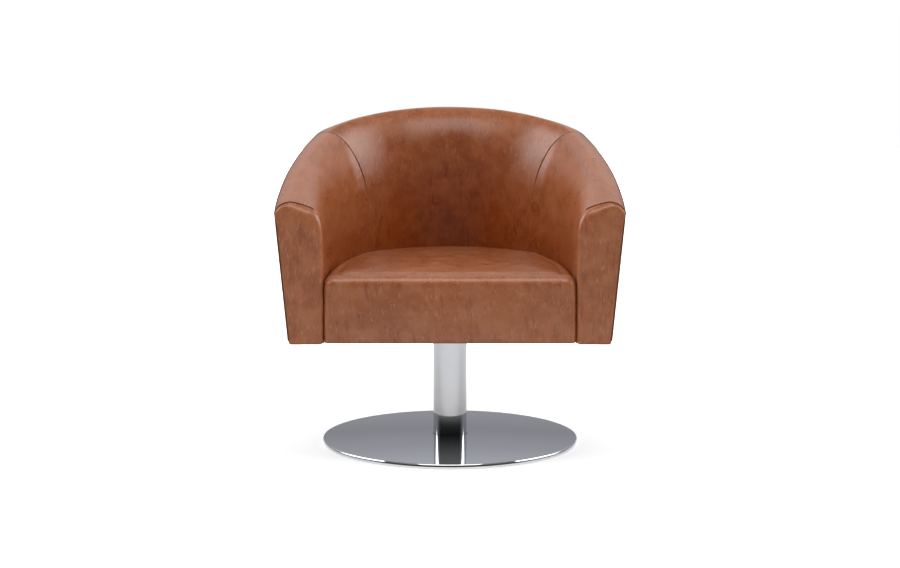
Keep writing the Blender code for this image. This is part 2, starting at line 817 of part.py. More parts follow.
def make_seat_frame():
    """The deck, the rails that stand on it and the elastic sheet over them."""
    deck = prism("seat_deck", seat_outline(SKIN), DECK_BOTTOM, DECK_TOP, "plywood")
    sheet = seat_outline(SKIN + DIAPHRAGM_MARGIN)
    sheet_top = DIAPHRAGM_BOTTOM + DIAPHRAGM_THICKNESS
    prism("seat_diaphragm", sheet, DIAPHRAGM_BOTTOM, sheet_top, "webbing")

    front = SEAT_FRONT + SKIN
    back = front + SEAT_RAIL_THICKNESS
    half = SHELL_WIDTH / 2 - inner_wall_depth(station(0)) - SEAT_CLEARANCE - SKIN - SEAT_CORNER
    outline = [(half, front), (half, back), (-half, back), (-half, front)]
    prism("seat_front_rail", outline, SEAT_RAIL_BOTTOM, SEAT_RAIL_TOP, "timber")

    def rail_section(here):
        outer = inner_wall_depth(here) + SEAT_CLEARANCE + SKIN
        inner = outer + SEAT_RAIL_THICKNESS
        bottom = SEAT_RAIL_BOTTOM
        top = SEAT_RAIL_TOP
        return [(outer, bottom), (outer, top), (inner, top), (inner, bottom)]

    rails = []
    rail_start = back + GAP - SHELL_FRONT
    for side, start, end in sides_of_rim(rail_start):
        name = piece_name(side, "seat_side_rail", "seat_back_rail")
        rails.append(loft(name, start, end, rail_section, "timber"))
    return deck, rails


def bolt_placement(steps, sign):
    """Places a bolt on a seat rail's inner face, halfway to the next station of the rim.

    The steps count the stations from the arm's front. The bolt's own Z axis points outwards
    through the rail and into the tub.
    """
    ends = []
    for here in HALF_RIM[steps : steps + 2]:
        depth = inner_wall_depth(here) + SEAT_CLEARANCE + SKIN + SEAT_RAIL_THICKNESS
        x, y, height = at_depth(here, depth, FRAME_BOLT_HEIGHT)
        ends.append(Vector((sign * x, y, height)))
    along = ends[1] - ends[0]
    outward = Vector((along.y, -along.x, 0)) * sign
    turn = outward.to_track_quat("Z", "Y").to_matrix().to_4x4()
    return Matrix.Translation((ends[0] + ends[1]) / 2) @ turn


def make_frame_bolts(pieces):
    """The bolts between the seat rails and the tub, and the holes that they pass through."""
    reach = SEAT_RAIL_THICKNESS + SEAT_CLEARANCE + 2 * SKIN + FRAME_BOLT_GRIP
    outline = [
        (0, -GAP - FRAME_BOLT_HEAD_HEIGHT),
        (FRAME_BOLT_HEAD_RADIUS, -GAP - FRAME_BOLT_HEAD_HEIGHT),
        (FRAME_BOLT_HEAD_RADIUS, -GAP),
        (FRAME_BOLT_RADIUS, -GAP),
        (FRAME_BOLT_RADIUS, reach),
        (0, reach),
    ]
    hole = circle(FRAME_BOLT_RADIUS + GAP, BOLT_SIDES)
    holes = bmesh.new()
    for side, sign in (("right", 1), ("left", -1)):
        for end, steps in (("front", FRONT_BOLT_STEPS), ("rear", REAR_BOLT_STEPS)):
            placement = bolt_placement(steps, sign)
            turned(f"frame_bolt_{end}_{side}", outline, BOLT_SIDES, "zinc").matrix_world = placement
            rings = [
                [placement @ Vector((x, y, z)) for x, y in hole] for z in (-CUT_OVERRUN, reach + GAP)
            ]
            for row in add_stack(holes, rings):
                holes.faces.new(row)
    guide = finished_guide("frame_bolt_holes", holes)
    for piece in pieces:
        cut(piece, guide)


def make_dust_cover():
    """Black lining under the tub, open around the swivel plate."""
    top = RAIL_BOTTOM - GAP
    outline = []
    for here in stations_between(DUST_COVER_FRONT_MARGIN, RIM_LENGTH - DUST_COVER_FRONT_MARGIN):
        edge = wall_depth(here, SHELL_BOTTOM + BOTTOM_ROUND) + LEATHER_TURN_UNDER + GAP
        x, y, _ = at_depth(here, edge, 0)
        outline.append((x, y))
    cover = prism("dust_cover", outline, top - CLOTH, top, "lining")
    half = PLATE_SIZE / 2 + DUST_COVER_PLATE_MARGIN
    square = [(half, -half), (half, half), (-half, half), (-half, -half)]
    cut(cover, cutter("dust_cover_opening", [(square, top - CUT_OVERRUN, top + CUT_OVERRUN)]))


# Swivel


def corner_places(offset):
    return [(offset * x, offset * y) for x, y in ((1, -1), (1, 1), (-1, 1), (-1, -1))]


def rounded_square(half, radius):
    outline = []
    for index, (x, y) in enumerate(corner_places(half - radius)):
        start = math.pi / 2 * (index - 1)
        angles = [start, start + math.pi / 4, start + math.pi / 2]
        outline += [(x + radius * math.cos(a), y + radius * math.sin(a)) for a in angles]
    return outline


def make_swivel_plate(deck):
    """The steel plate under the seat deck, with its bolts and tee nuts."""
    outline = rounded_square(PLATE_SIZE / 2, PLATE_CORNER)
    plate = prism("swivel_plate", outline, PLATE_BOTTOM, PLATE_TOP, "black steel")
    places = corner_places(PLATE_BOLT_OFFSET)
    low = PLATE_BOTTOM - CUT_OVERRUN
    high = DECK_TOP + CUT_OVERRUN
    bolt_holes = [
        (circle(PLATE_BOLT_RADIUS + GAP, BOLT_SIDES, spot), low, PLATE_TOP + CUT_OVERRUN)
        for spot in places
    ]
    spindle_hole = (circle(SPINDLE_RADIUS + GAP, SPINDLE_SIDES), low, PLATE_TOP + CUT_OVERRUN)
    cut(plate, cutter("swivel_plate_holes", bolt_holes + [spindle_hole]))
    nut_holes = [
        (circle(TEE_NUT_BARREL_RADIUS + GAP, BOLT_SIDES, spot), DECK_BOTTOM - CUT_OVERRUN, high)
        for spot in places
    ]
    cut(deck, cutter("tee_nut_holes", nut_holes))

    top = PLATE_BOTTOM - GAP
    flange = top - PLATE_BOLT_FLANGE
    head = flange - PLATE_BOLT_HEAD_HEIGHT
    end = DECK_TOP + PLATE_BOLT_PAST_DECK
    bolt = [
        (0, head),
        (PLATE_BOLT_HEAD_RADIUS, head),
        (PLATE_BOLT_HEAD_RADIUS, flange),
        (PLATE_BOLT_FLANGE_RADIUS, flange),
        (PLATE_BOLT_FLANGE_RADIUS, top),
        (PLATE_BOLT_RADIUS, top),
        (PLATE_BOLT_RADIUS, end),
        (0, end),
    ]
    nut_bottom = DECK_TOP - TEE_NUT_BARREL_LENGTH
    nut = [
        (PLATE_BOLT_RADIUS + GAP, nut_bottom),
        (TEE_NUT_BARREL_RADIUS, nut_bottom),
        (TEE_NUT_BARREL_RADIUS, DECK_TOP + GAP),
        (TEE_NUT_FLANGE_RADIUS, DECK_TOP + GAP),
        (TEE_NUT_FLANGE_RADIUS, DECK_TOP + GAP + TEE_NUT_FLANGE),
        (PLATE_BOLT_RADIUS + GAP, DECK_TOP + GAP + TEE_NUT_FLANGE),
    ]
    for number, (x, y) in enumerate(places, 1):
        turned(f"plate_bolt_{number}", bolt, BOLT_SIDES, "zinc").location = (x, y, 0)
        turned(f"tee_nut_{number}", nut, BOLT_SIDES, "zinc").location = (x, y, 0)


def make_spindle():
    """The spindle that hangs from the swivel plate, and the ring that holds it in its bushes."""
    groove_top = RING_TOP + GAP
    groove_bottom = RING_TOP - RING_THICKNESS - GAP
    groove = SPINDLE_RADIUS - GROOVE_DEPTH
    outline = [
        (0, SPINDLE_BOTTOM),
        (SPINDLE_RADIUS, SPINDLE_BOTTOM),
        (SPINDLE_RADIUS, groove_bottom),
        (groove, groove_bottom),
        (groove, groove_top),
        (SPINDLE_RADIUS, groove_top),
        (SPINDLE_RADIUS, PLATE_TOP),
        (0, PLATE_TOP),
    ]
    turned("spindle", outline, SPINDLE_SIDES, "zinc")
    inner = groove + GAP
    span = 2 * math.pi - RING_OPENING
    angles = [RING_OPENING / 2 + span * step / SPINDLE_SIDES for step in range(SPINDLE_SIDES + 1)]
    outer_line = [(RING_RADIUS * math.cos(a), RING_RADIUS * math.sin(a)) for a in angles]
    inner_line = [(inner * math.cos(a), inner * math.sin(a)) for a in angles]
    ring = outer_line + inner_line[::-1]
    prism("retaining_ring", ring, RING_TOP - RING_THICKNESS, RING_TOP, "black steel")


def make_bushes():
    bush_outer = SPINDLE_BORE + BUSH_WALL
    flange_bottom = UPPER_BUSH_TOP - UPPER_BUSH_FLANGE
    upper = [
        (SPINDLE_BORE, UPPER_BUSH_TOP),
        (UPPER_BUSH_FLANGE_RADIUS, UPPER_BUSH_TOP),
        (UPPER_BUSH_FLANGE_RADIUS, flange_bottom),
        (bush_outer, flange_bottom),
        (bush_outer, flange_bottom - BUSH_LENGTH),
        (SPINDLE_BORE, flange_bottom - BUSH_LENGTH),
    ]
    turned("upper_bush", upper, SPINDLE_SIDES, "nylon")
    flange_top = LOWER_BUSH_BOTTOM + LOWER_BUSH_FLANGE
    lower = [
        (SPINDLE_BORE, flange_top + BUSH_LENGTH),
        (bush_outer, flange_top + BUSH_LENGTH),
        (bush_outer, flange_top),
        (LOWER_BUSH_FLANGE_RADIUS, flange_top),
        (LOWER_BUSH_FLANGE_RADIUS, LOWER_BUSH_BOTTOM),
        (SPINDLE_BORE, LOWER_BUSH_BOTTOM),
    ]
    turned("lower_bush", lower, SPINDLE_SIDES, "nylon")


# Column and base


def make_column():
    housing = [
        (HOUSING_BORE, HOUSING_TOP),
        (COLUMN_RADIUS, HOUSING_TOP),
        (COLUMN_RADIUS, HOUSING_TOP - HOUSING_FLANGE),
        (COLUMN_BORE - GAP, HOUSING_TOP - HOUSING_FLANGE),
        (COLUMN_BORE - GAP, HOUSING_BOTTOM),
        (HOUSING_BORE, HOUSING_BOTTOM),
    ]
    turned("bearing_housing", housing, COLUMN_SIDES, "zinc")
    tube = [
        (COLUMN_BORE, COLUMN_TOP),
        (COLUMN_RADIUS, COLUMN_TOP),
        (COLUMN_RADIUS, COLUMN_BOTTOM),
        (COLUMN_BORE, COLUMN_BOTTOM),
    ]
    turned("column_tube", tube, COLUMN_SIDES, "polished steel")
    foot = [
        (0, COLUMN_FOOT_TOP),
        (COLUMN_BORE - GAP, COLUMN_FOOT_TOP),
        (COLUMN_BORE - GAP, COLUMN_BOTTOM),
        (0, COLUMN_BOTTOM),
    ]
    return turned("column_foot", foot, COLUMN_SIDES, "zinc")


def make_base_cover():
    """The spun steel cover: a low dome with a small round at its edge."""
    hole = COLUMN_RADIUS + GAP
    dome = [(BASE_RADIUS * share, dome_height(BASE_RADIUS * share)) for share in DOME_SHARES]
    edge_top = dome_height(BASE_RADIUS)
    centre = (BASE_RADIUS - BASE_EDGE_ROUND, edge_top - BASE_EDGE_ROUND)
    edge = quarter_turn(centre, BASE_EDGE_ROUND, math.pi / 2, 2)
    outer = [(hole, dome_height(hole))] + dome[::-1] + edge + [(BASE_RADIUS, BASE_COVER_LIFT)]
    under = [(radius, height - BASE_COVER_THICKNESS) for radius, height in dome]
    inner_radius = BASE_RADIUS - BASE_COVER_THICKNESS
    inner = [
        (inner_radius, BASE_COVER_LIFT),
        (inner_radius, edge_top - BASE_EDGE_ROUND - BASE_COVER_THICKNESS),
    ]
    last = [(hole, dome_height(hole) - BASE_COVER_THICKNESS)]
    turned("base_cover", outer + inner + under + last, BASE_SIDES, "polished steel")


def make_base_weight():
    """The cast weight that fills the cover, with counterbored screw holes."""
    inner = BASE_RADIUS - BASE_COVER_THICKNESS - GAP
    radii = [inner * share for share in DOME_SHARES]
    slope = [(r, dome_height(r) - BASE_COVER_THICKNESS - 2 * GAP) for r in radii[::-1]]
    edge = [
        (inner, BASE_RIM_HEIGHT - BASE_EDGE_ROUND - BASE_COVER_THICKNESS - 2 * GAP),
        (inner, WEIGHT_BOTTOM),
    ]
    top = [(0, WEIGHT_TOP), (COLUMN_RADIUS, WEIGHT_TOP)]
    outline = top + slope + edge + [(0, WEIGHT_BOTTOM)]
    return turned("base_weight", outline, BASE_SIDES, "cast iron")


def make_base_screws(weight, foot):
    offset = BASE_SCREW_CIRCLE / math.sqrt(2)
    places = corner_places(offset)
    head_bottom = WEIGHT_BOTTOM + GAP
    head_top = head_bottom + BASE_SCREW_HEAD_HEIGHT
    end = COLUMN_FOOT_TOP - BASE_SCREW_TAIL
    screw = [
        (0, head_bottom + BASE_SCREW_SOCKET_DEPTH),
        (BASE_SCREW_SOCKET_RADIUS, head_bottom + BASE_SCREW_SOCKET_DEPTH),
        (BASE_SCREW_SOCKET_RADIUS, head_bottom),
        (BASE_SCREW_HEAD_RADIUS, head_bottom),
        (BASE_SCREW_HEAD_RADIUS, head_top),
        (BASE_SCREW_RADIUS, head_top),
        (BASE_SCREW_RADIUS, end),
        (0, end),
    ]
    for number, (x, y) in enumerate(places, 1):
        turned(f"base_screw_{number}", screw, BOLT_SIDES, "black steel").location = (x, y, 0)
    shank = BASE_SCREW_RADIUS + GAP
    head = BASE_SCREW_HEAD_RADIUS + HEAD_CLEARANCE
    low = WEIGHT_BOTTOM - CUT_OVERRUN
    counterbores = [(circle(head, BOLT_SIDES, spot), low, head_top + GAP) for spot in places]
    holes = [(circle(shank, BOLT_SIDES, spot), low, WEIGHT_TOP + CUT_OVERRUN) for spot in places]
    cut(weight, cutter("counterbores", counterbores))
    cut(weight, cutter("weight_holes", holes))
    tapped = [(circle(shank, BOLT_SIDES, spot), low, end + GAP) for spot in places]
    cut(foot, cutter("foot_holes", tapped))


def make_floor_ring():
    inner = FLOOR_RING_RADIUS - FLOOR_RING_WIDTH
    outline = [
        (inner, 0),
        (inner, FLOOR_RING_HEIGHT),
        (FLOOR_RING_RADIUS, FLOOR_RING_HEIGHT),
        (FLOOR_RING_RADIUS, 0),
    ]
    turned("floor_ring", outline, BASE_SIDES, "rubber")


def main():
    clear_scene()
    make_floor_ring()
    make_base_cover()
    weight = make_base_weight()
    foot = make_column()
    make_base_screws(weight, foot)
    make_bushes()
    make_spindle()

    deck, seat_rails = make_seat_frame()
    make_swivel_plate(deck)
    make_seat_foam()
    seat_leather = make_seat_leather()

    bottom_rail = make_rails_and_posts()
    make_outer_board()
    make_foams()
    inside_leathers = make_inside_leathers()
    make_outside_leathers()
    make_facings()
    make_rim_welt()
    make_facing_welts()
    make_dust_cover()
    make_frame_bolts([*seat_rails, seat_leather, *inside_leathers, bottom_rail])


main()
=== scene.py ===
"""The looks of the pedestal tub chair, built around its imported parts.

Lengths are in metres in the parts' own frame: the floor is z = 0, the swivel axis is the Z axis, and
the chair faces -Y. The tub's sections repeat the sizes that its leather has in the part. A section's
points are (depth, height): depth is measured inwards from the outermost line of the rim. Of a pair of
sizes along the rim, the first holds at the arms' fronts and the second at the middle of the back.
"""

import json
import math
from collections import namedtuple

import bmesh
import bpy
import numpy as np
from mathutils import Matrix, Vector, noise


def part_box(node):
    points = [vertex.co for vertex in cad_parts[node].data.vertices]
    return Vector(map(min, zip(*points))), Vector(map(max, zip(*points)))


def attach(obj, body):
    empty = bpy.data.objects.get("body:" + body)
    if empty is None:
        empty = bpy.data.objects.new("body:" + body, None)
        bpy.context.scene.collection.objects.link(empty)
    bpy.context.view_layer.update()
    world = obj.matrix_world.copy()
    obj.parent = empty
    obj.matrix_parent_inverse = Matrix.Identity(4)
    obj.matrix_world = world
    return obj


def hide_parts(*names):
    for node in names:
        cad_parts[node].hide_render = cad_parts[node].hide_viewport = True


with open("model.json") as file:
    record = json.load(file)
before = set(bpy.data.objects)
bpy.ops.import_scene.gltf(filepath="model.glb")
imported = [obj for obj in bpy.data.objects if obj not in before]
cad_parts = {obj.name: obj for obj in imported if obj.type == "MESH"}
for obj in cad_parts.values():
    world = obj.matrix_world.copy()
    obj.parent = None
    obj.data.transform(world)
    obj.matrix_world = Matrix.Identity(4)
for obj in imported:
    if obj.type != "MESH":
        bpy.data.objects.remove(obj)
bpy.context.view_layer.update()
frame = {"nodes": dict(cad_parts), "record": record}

# Sizes that repeat the part's own
WIDTH = 0.744
ARM_STRAIGHT = 0.1154
BOW_RADIUS = 1.8
BOW_ANGLE = math.radians(12.5)
CORNER_RADIUS = 0.165
CORNER_ANGLE = math.radians(36.0)
SEAM_ANGLE = math.radians(30.0)
SEAT_PROUD = 0.004
SHELL_BOTTOM = 0.284
RIM_FRONT = 0.571
RIM_BACK = 0.7915
CROWN_DEPTH = 0.034
CROWN_RISE = (0.0125, 0.008)
INNER_WALL = (0.103, 0.088)
BACK_LEAN = 0.1
SEAT_CONTACT = 0.425
WALL_TAPER = 0.094
LEATHER = 0.0016
GAP = 0.0003
WELT = 0.0015
FACING_WELT = 0.0019
RAIL_BOTTOM = SHELL_BOTTOM + LEATHER + GAP
BASE_RADIUS = 0.305
COLUMN_RADIUS = 0.04

BACK_RADIUS = (
    WIDTH / 2
    - BOW_RADIUS * (1 - math.cos(BOW_ANGLE))
    - CORNER_RADIUS * (math.cos(BOW_ANGLE) - math.cos(CORNER_ANGLE))
) / math.cos(CORNER_ANGLE)
SHELL_DEPTH = (
    ARM_STRAIGHT
    + BOW_RADIUS * math.sin(BOW_ANGLE)
    + CORNER_RADIUS * (math.sin(CORNER_ANGLE) - math.sin(BOW_ANGLE))
    + BACK_RADIUS * (1 - math.sin(CORNER_ANGLE))
)
SHELL_FRONT = (SEAT_PROUD - SHELL_DEPTH) / 2
SEAT_FRONT = SHELL_FRONT - SEAT_PROUD
ARCS = (
    (BOW_RADIUS, 0.0, BOW_ANGLE),
    (CORNER_RADIUS, BOW_ANGLE, CORNER_ANGLE),
    (BACK_RADIUS, CORNER_ANGLE, math.pi / 2),
)
HALF_LENGTH = ARM_STRAIGHT + sum(radius * (end - start) for radius, start, end in ARCS)
RIM_LENGTH = 2 * HALF_LENGTH
SEAM = ARM_STRAIGHT + BOW_RADIUS * BOW_ANGLE + CORNER_RADIUS * (SEAM_ANGLE - BOW_ANGLE)

# Distances from a seam that sheets have rows at
SEAM_STEPS = (0.0, 0.0004, 0.0009, 0.0015, 0.0022, 0.003, 0.004, 0.0055, 0.0075, 0.0105)

# The slow rise and fall of leather over foam: scale, height and place of each of its two waves
WAVES = ((7.0, 0.0011, (3.1, 0.4, 1.7)), (19.0, 0.00035, (0.2, 5.1, 2.2)))

# An arm's front: how far its leather wraps back over the arm and round the outer edge, the rounding
# of its edge at each place, its lower corners, and how far over the arm its edge is sewn
FACING_BACK = 0.0095
OUTER_BACK = 0.0035
OUTER_ROUND = 0.003
ARM_ROUND = 0.0082
FULL_ROUND = 0.0165
FOOT_ROUND = 0.005
FACING_CORNER = 0.009
SEWN_DEPTH = 0.083
ROUND_STEPS = 10
CORNER_STEPS = 6

# The outside leather turns under the tub
HEM_ROUND = 0.006
HEM_DEPTHS = (0.025, 0.016, 0.009)
HEM_POINTS = len(HEM_DEPTHS) + CORNER_STEPS + 1

# How far the piping starts behind the outer edge's leather, or stops short of it
PIPING_SETBACK = 0.0005

# The seat: underside, upper edge of its front, and the rise of its roll, crown and back
SEAT_BOTTOM = 0.2872
SEAT_FOOT_ROUND = 0.0035
SEAT_EDGE = 0.4082
SEAT_ROLL_RISE = 0.0235
SEAT_ROLL_SHARE = 0.072
SEAT_ROLL_STEPS = 14
SEAT_CROWN_RISE = 0.0145
SEAT_BACK_RISE = 0.018
SEAT_TOP_SHARES = (
    0.92, 0.912, 0.902, 0.89, 0.875, 0.86, 0.84, 0.81, 0.77, 0.73, 0.67, 0.6, 0.5, 0.4, 0.3, 0.2, 0.1,
)
SEAT_CORNER = 0.013
SEAT_TOP_CORNER = 0.019
SEAT_LEAST_CORNER = 0.004
SEAT_GAP = 2 * GAP

# The polished disc, and the fine edge that it shares with the tube. The disc's edge runs from
# its top down: the slope at the start and end of each stretch in degrees, and its length
BASE_RIM_HEIGHT = 0.0105
BASE_DOME_RISE = 0.0056
BASE_BOTTOM = 0.0006
BASE_SHEET = 0.0015
BASE_EDGE = (
    (2.0, 46.0, 0.0006), (46.0, 56.0, 0.0012), (56.0, 74.0, 0.0014), (74.0, 80.0, 0.0028),
    (80.0, 90.0, 0.0006),
)
FINE_EDGE = 0.0003

# Leather colours, in linear light
HIDE_MID = (0.3, 0.084, 0.021)
HIDE_TAN = (0.34, 0.114, 0.041)
HIDE_DEEP = (0.25, 0.064, 0.015)
HIDE_DARK = (0.145, 0.032, 0.008)
HIDE_LIGHT = (0.39, 0.155, 0.075)
HIDE_RUB = (0.44, 0.185, 0.105)
HIDE_STREAK = (0.4, 0.115, 0.045)
# A dark edge colour: painted shade at seams and lower edges, and the piping's own dark colour
HIDE_EDGE_SHADE = (0.06, 0.016, 0.006)
# The tint multiplied into the leather as painted shade in the tub's depth
HIDE_PAINTED_SHADE = (0.79, 0.48, 0.08)
HIDE_ROUGHNESS = 0.305

# Grained finishes: light and dark colour, scale of the grain, roughness and depth of the grain, then
# its stretch and the share of metal
EVEN = WHITE = (1.0, 1.0, 1.0)
LINING_CLOTH = ((0.03, 0.03, 0.033), (0.015, 0.015, 0.017), 900.0, 0.9, 0.0003)
FINISHES = {
    "timber": ((0.62, 0.42, 0.24), (0.48, 0.3, 0.16), 9.0, 0.6, 0.0004, (1.0, 1.0, 14.0)),
    "plywood": ((0.66, 0.49, 0.3), (0.5, 0.34, 0.18), 12.0, 0.6, 0.0003, (1.0, 6.0, 22.0)),
    "fibreboard": ((0.4, 0.28, 0.17), (0.3, 0.2, 0.11), 240.0, 0.8, 0.0003),
    "webbing": ((0.1, 0.1, 0.11), (0.05, 0.05, 0.055), 500.0, 0.9, 0.0003, (1.0, 4.0, 1.0)),
    "zinc_steel": ((0.6, 0.61, 0.6), (0.48, 0.5, 0.5), 160.0, 0.34, 0.0001, EVEN, 1.0),
    "black_steel": ((0.03, 0.03, 0.032), (0.018, 0.018, 0.02), 420.0, 0.45, 0.0002),
    "cast_iron": ((0.09, 0.09, 0.095), (0.05, 0.05, 0.055), 300.0, 0.7, 0.0006, EVEN, 0.6),
    "nylon": ((0.86, 0.84, 0.78), (0.78, 0.76, 0.7), 120.0, 0.4, 0.0001),
    "rubber": ((0.025, 0.025, 0.025), (0.014, 0.014, 0.014), 380.0, 0.85, 0.0004),
    "foam": ((0.83, 0.78, 0.62), (0.74, 0.68, 0.52), 500.0, 0.95, 0.0006),
}

# Levels of the studio's walls against the height of the direction, as the sine of its elevation
WALL_BEHIND = ((0.0, 0.37), (0.13, 0.37), (0.2, 0.32), (0.26, 0.42), (0.31, 0.56), (0.5, 0.9), (0.75, 0.9))
WALL_IN_FRONT = (
    (0.0, 0.9), (0.03, 0.75), (0.07, 0.5), (0.11, 0.4), (0.13, 0.25), (0.15, 0.1), (0.17, 0.03),
    (0.21, 0.01), (0.235, 0.03), (0.26, 0.09), (0.3, 0.22), (0.36, 0.12), (0.7, 0.14), (0.85, 0.4),
)

# The two side lights at each height: the middle of their facing, where 0 is the front, 0.5 square to
# the side and 1 the back, and half of how far they spread in the facing's cosine
SIDE_FACING = ((0.0, 0.63), (0.29, 0.63), (0.42, 0.5), (0.8, 0.5))
SIDE_HALF_WIDTH = (
    (0.0, 0.0), (0.18, 0.0), (0.21, 0.08), (0.29, 0.26), (0.4, 0.4), (0.6, 0.42), (0.75, 0.25),
    (0.82, 0.0),
)


# The rim and the tub's sections

Station = namedtuple("Station", "distance x y nx ny rim back")


def mix(first, last, share):
    """A value part of the way from one to another."""
    return first + (last - first) * share


def smooth(share):
    """A share held between nought and one, with gentle ends."""
    share = min(max(share, 0.0), 1.0)
    return share * share * (3 - 2 * share)


def fade(value, start, spread):
    """Nought up to a start, and one from the end of the spread after it."""
    return smooth((value - start) / spread)


def hill(value, middle, width):
    """One at a middle, and down to nothing either side."""
    return math.exp(-(((value - middle) / width) ** 2))


def plan_point(reach):
    """Plan position and outward angle on the +X half of the rim."""
    if reach <= ARM_STRAIGHT:
        return WIDTH / 2, SHELL_FRONT + reach, 0.0
    x, y, distance = WIDTH / 2, SHELL_FRONT + ARM_STRAIGHT, ARM_STRAIGHT
    for radius, start, end in ARCS:
        middle_x, middle_y = x - radius * math.cos(start), y - radius * math.sin(start)
        angle = min(start + (reach - distance) / radius, end)
        x, y = middle_x + radius * math.cos(angle), middle_y + radius * math.sin(angle)
        distance += radius * (end - start)
        if reach <= distance:
            break
    return x, y, angle


def station(distance):
    """The rim at a distance from the right arm's front, blended with places close by."""
    blend_start, blend_spread, steps, weights = 0.03, 0.014, (-1, -0.5, 0, 0.5, 1), (1, 3, 4, 3, 1)
    mirrored = distance > HALF_LENGTH
    reach = RIM_LENGTH - distance if mirrored else distance
    spread = min(blend_spread, max(reach - blend_start, 0.0))
    total = sum(weights)
    x = y = angle = 0.0
    for step, weight in zip(steps, weights):
        near = reach + spread * step
        over = near > HALF_LENGTH
        px, py, pa = plan_point(RIM_LENGTH - near if over else near)
        x += (-px if over else px) * weight / total
        y += py * weight / total
        angle += (math.pi - pa if over else pa) * weight / total
    along = (y - SHELL_FRONT) / SHELL_DEPTH
    rim = mix(RIM_FRONT, RIM_BACK, along)
    side = -1 if mirrored else 1
    return Station(distance, side * x, y, side * math.cos(angle), math.sin(angle), rim, smooth(along))


def at_depth(here, depth, height):
    """A section's point in the chair's own frame."""
    return Vector((here.x - here.nx * depth, here.y - here.ny * depth, height))


def crest(here):
    """The height of the roll's crown."""
    return here.rim + mix(*CROWN_RISE, here.back)


def front_reach(here):
    """How far along the rim a station lies from the nearer arm's front."""
    return min(here.distance, RIM_LENGTH - here.distance)


def rim_drop(here):
    """How far the outer top edge rounds down, close to an arm's front."""
    rounding, spread = 0.0095, 0.035
    return rounding * hill(front_reach(here), 0.0, spread)


def wall_depth(here, height):
    """The depth of the outer wall, which tapers in towards its foot."""
    return WELT + WALL_TAPER * (here.rim - height)


def inner_wall(here, height):
    """The depth of the inner wall, which leans forward at the back."""
    return mix(*INNER_WALL, here.back) + BACK_LEAN * here.back ** 2 * (crest(here) - height)


def wall_line(here, low, top, shares):
    """Points of the outer wall, at shares of its height."""
    heights = [mix(low, top, share) for share in shares]
    return [(wall_depth(here, height), height) for height in heights]


def padded_line(here, bottom):
    """The leather over the roll: from the rim's welt, over the crown and down the inner wall.

    The roll falls further and turns more slowly half-way between an arm's front and the back.
    """
    rise, wall = mix(*CROWN_RISE, here.back), mix(*INNER_WALL, here.back)
    half_way = math.sin(math.pi * (front_reach(here) / HALF_LENGTH))
    along = here.back ** 0.6
    drop = mix(0.094, 0.1, along) + 0.08 * half_way
    power = mix(0.62, 1.0, along) + 0.18 * half_way
    swell = 0.007 * (1 - here.back) ** 3
    edge = rim_drop(here)
    steps = 26
    points = []
    for share in (0.0, 0.06, 0.13, 0.21, 0.3, 0.4, 0.52, 0.65, 0.8, 1.0):
        depth = mix(2 * WELT, CROWN_DEPTH, share)
        left = 1 - depth / CROWN_DEPTH
        points.append((depth, here.rim + rise * (1 - left ** 2) - edge * left ** 3))
    for step in range(1, steps + 1):
        angle = math.pi / 2 * (step / steps) ** 1.15
        across = math.sin(angle) ** power
        down = drop * (1 - max(math.cos(angle), 0.0) ** power)
        down += swell * math.sin(math.pi * across) ** 1.3
        lean = BACK_LEAN * here.back ** 2 * down
        points.append((mix(CROWN_DEPTH, wall, across) + lean, here.rim + rise - down))
    last = points[-1][1]
    for share in (0.12, 0.25, 0.38, 0.52, 0.66, 0.82, 1.0):
        height = mix(last, SEAT_CONTACT, share)
        points.append((inner_wall(here, height), height))
    base = inner_wall(here, SEAT_CONTACT)
    return points + [(base, mix(SEAT_CONTACT, bottom, share)) for share in (0.1, 0.3, 0.6, 0.85, 1.0)]


def offset_line(points, distance, closed=False):
    """Moves a line of points to its right-hand side, seen along its run."""
    p = np.array(points, float)
    before, after = np.roll(p, 1, axis=0), np.roll(p, -1, axis=0)
    if not closed:
        before[0], after[-1] = p[0], p[-1]
    run = after - before
    run /= np.linalg.norm(run, axis=1)[:, None]
    side = np.stack([run[:, 1], -run[:, 0]], axis=1)
    return [tuple(q) for q in p + side * distance]


def quarter(depth, height, radius, start):
    """A quarter turn round a point of a section, clockwise from a starting angle."""
    turns = [start - math.pi / 2 * step / CORNER_STEPS for step in range(CORNER_STEPS + 1)]
    return [(depth + radius * math.cos(turn), height + radius * math.sin(turn)) for turn in turns]


def spread_between(start, end, step, fine_start=False, fine_end=False):
    """Distances along a stretch, closer together next to an end that is sewn."""
    lead = [start + near for near in SEAM_STEPS] if fine_start else [start]
    tail = [end - near for near in reversed(SEAM_STEPS)] if fine_end else [end]
    count = max(1, round((tail[0] - lead[-1]) / step))
    return lead + [mix(lead[-1], tail[0], i / count) for i in range(1, count)] + tail


# Meshes

def surface_normals(grid):
    """Unit normals of a grid of points, by rows and columns."""
    normals = np.cross(np.gradient(grid, axis=0), np.gradient(grid, axis=1))
    return normals / np.maximum(np.linalg.norm(normals, axis=2), 1e-12)[:, :, None]


def grid_size(grid):
    """The longest row and column of a grid of points, and its area: the size a sheet is cut to."""
    along, across = np.diff(grid, axis=0), np.diff(grid, axis=1)
    halves = np.cross(along[:, :-1], across[:-1]), np.cross(along[:, 1:], across[1:])
    area = sum(np.linalg.norm(half, axis=2).sum() for half in halves) / 2
    length = np.linalg.norm(along, axis=2).sum(axis=0).max()
    width = np.linalg.norm(across, axis=2).sum(axis=1).max()
    return float(length), float(width), float(area)


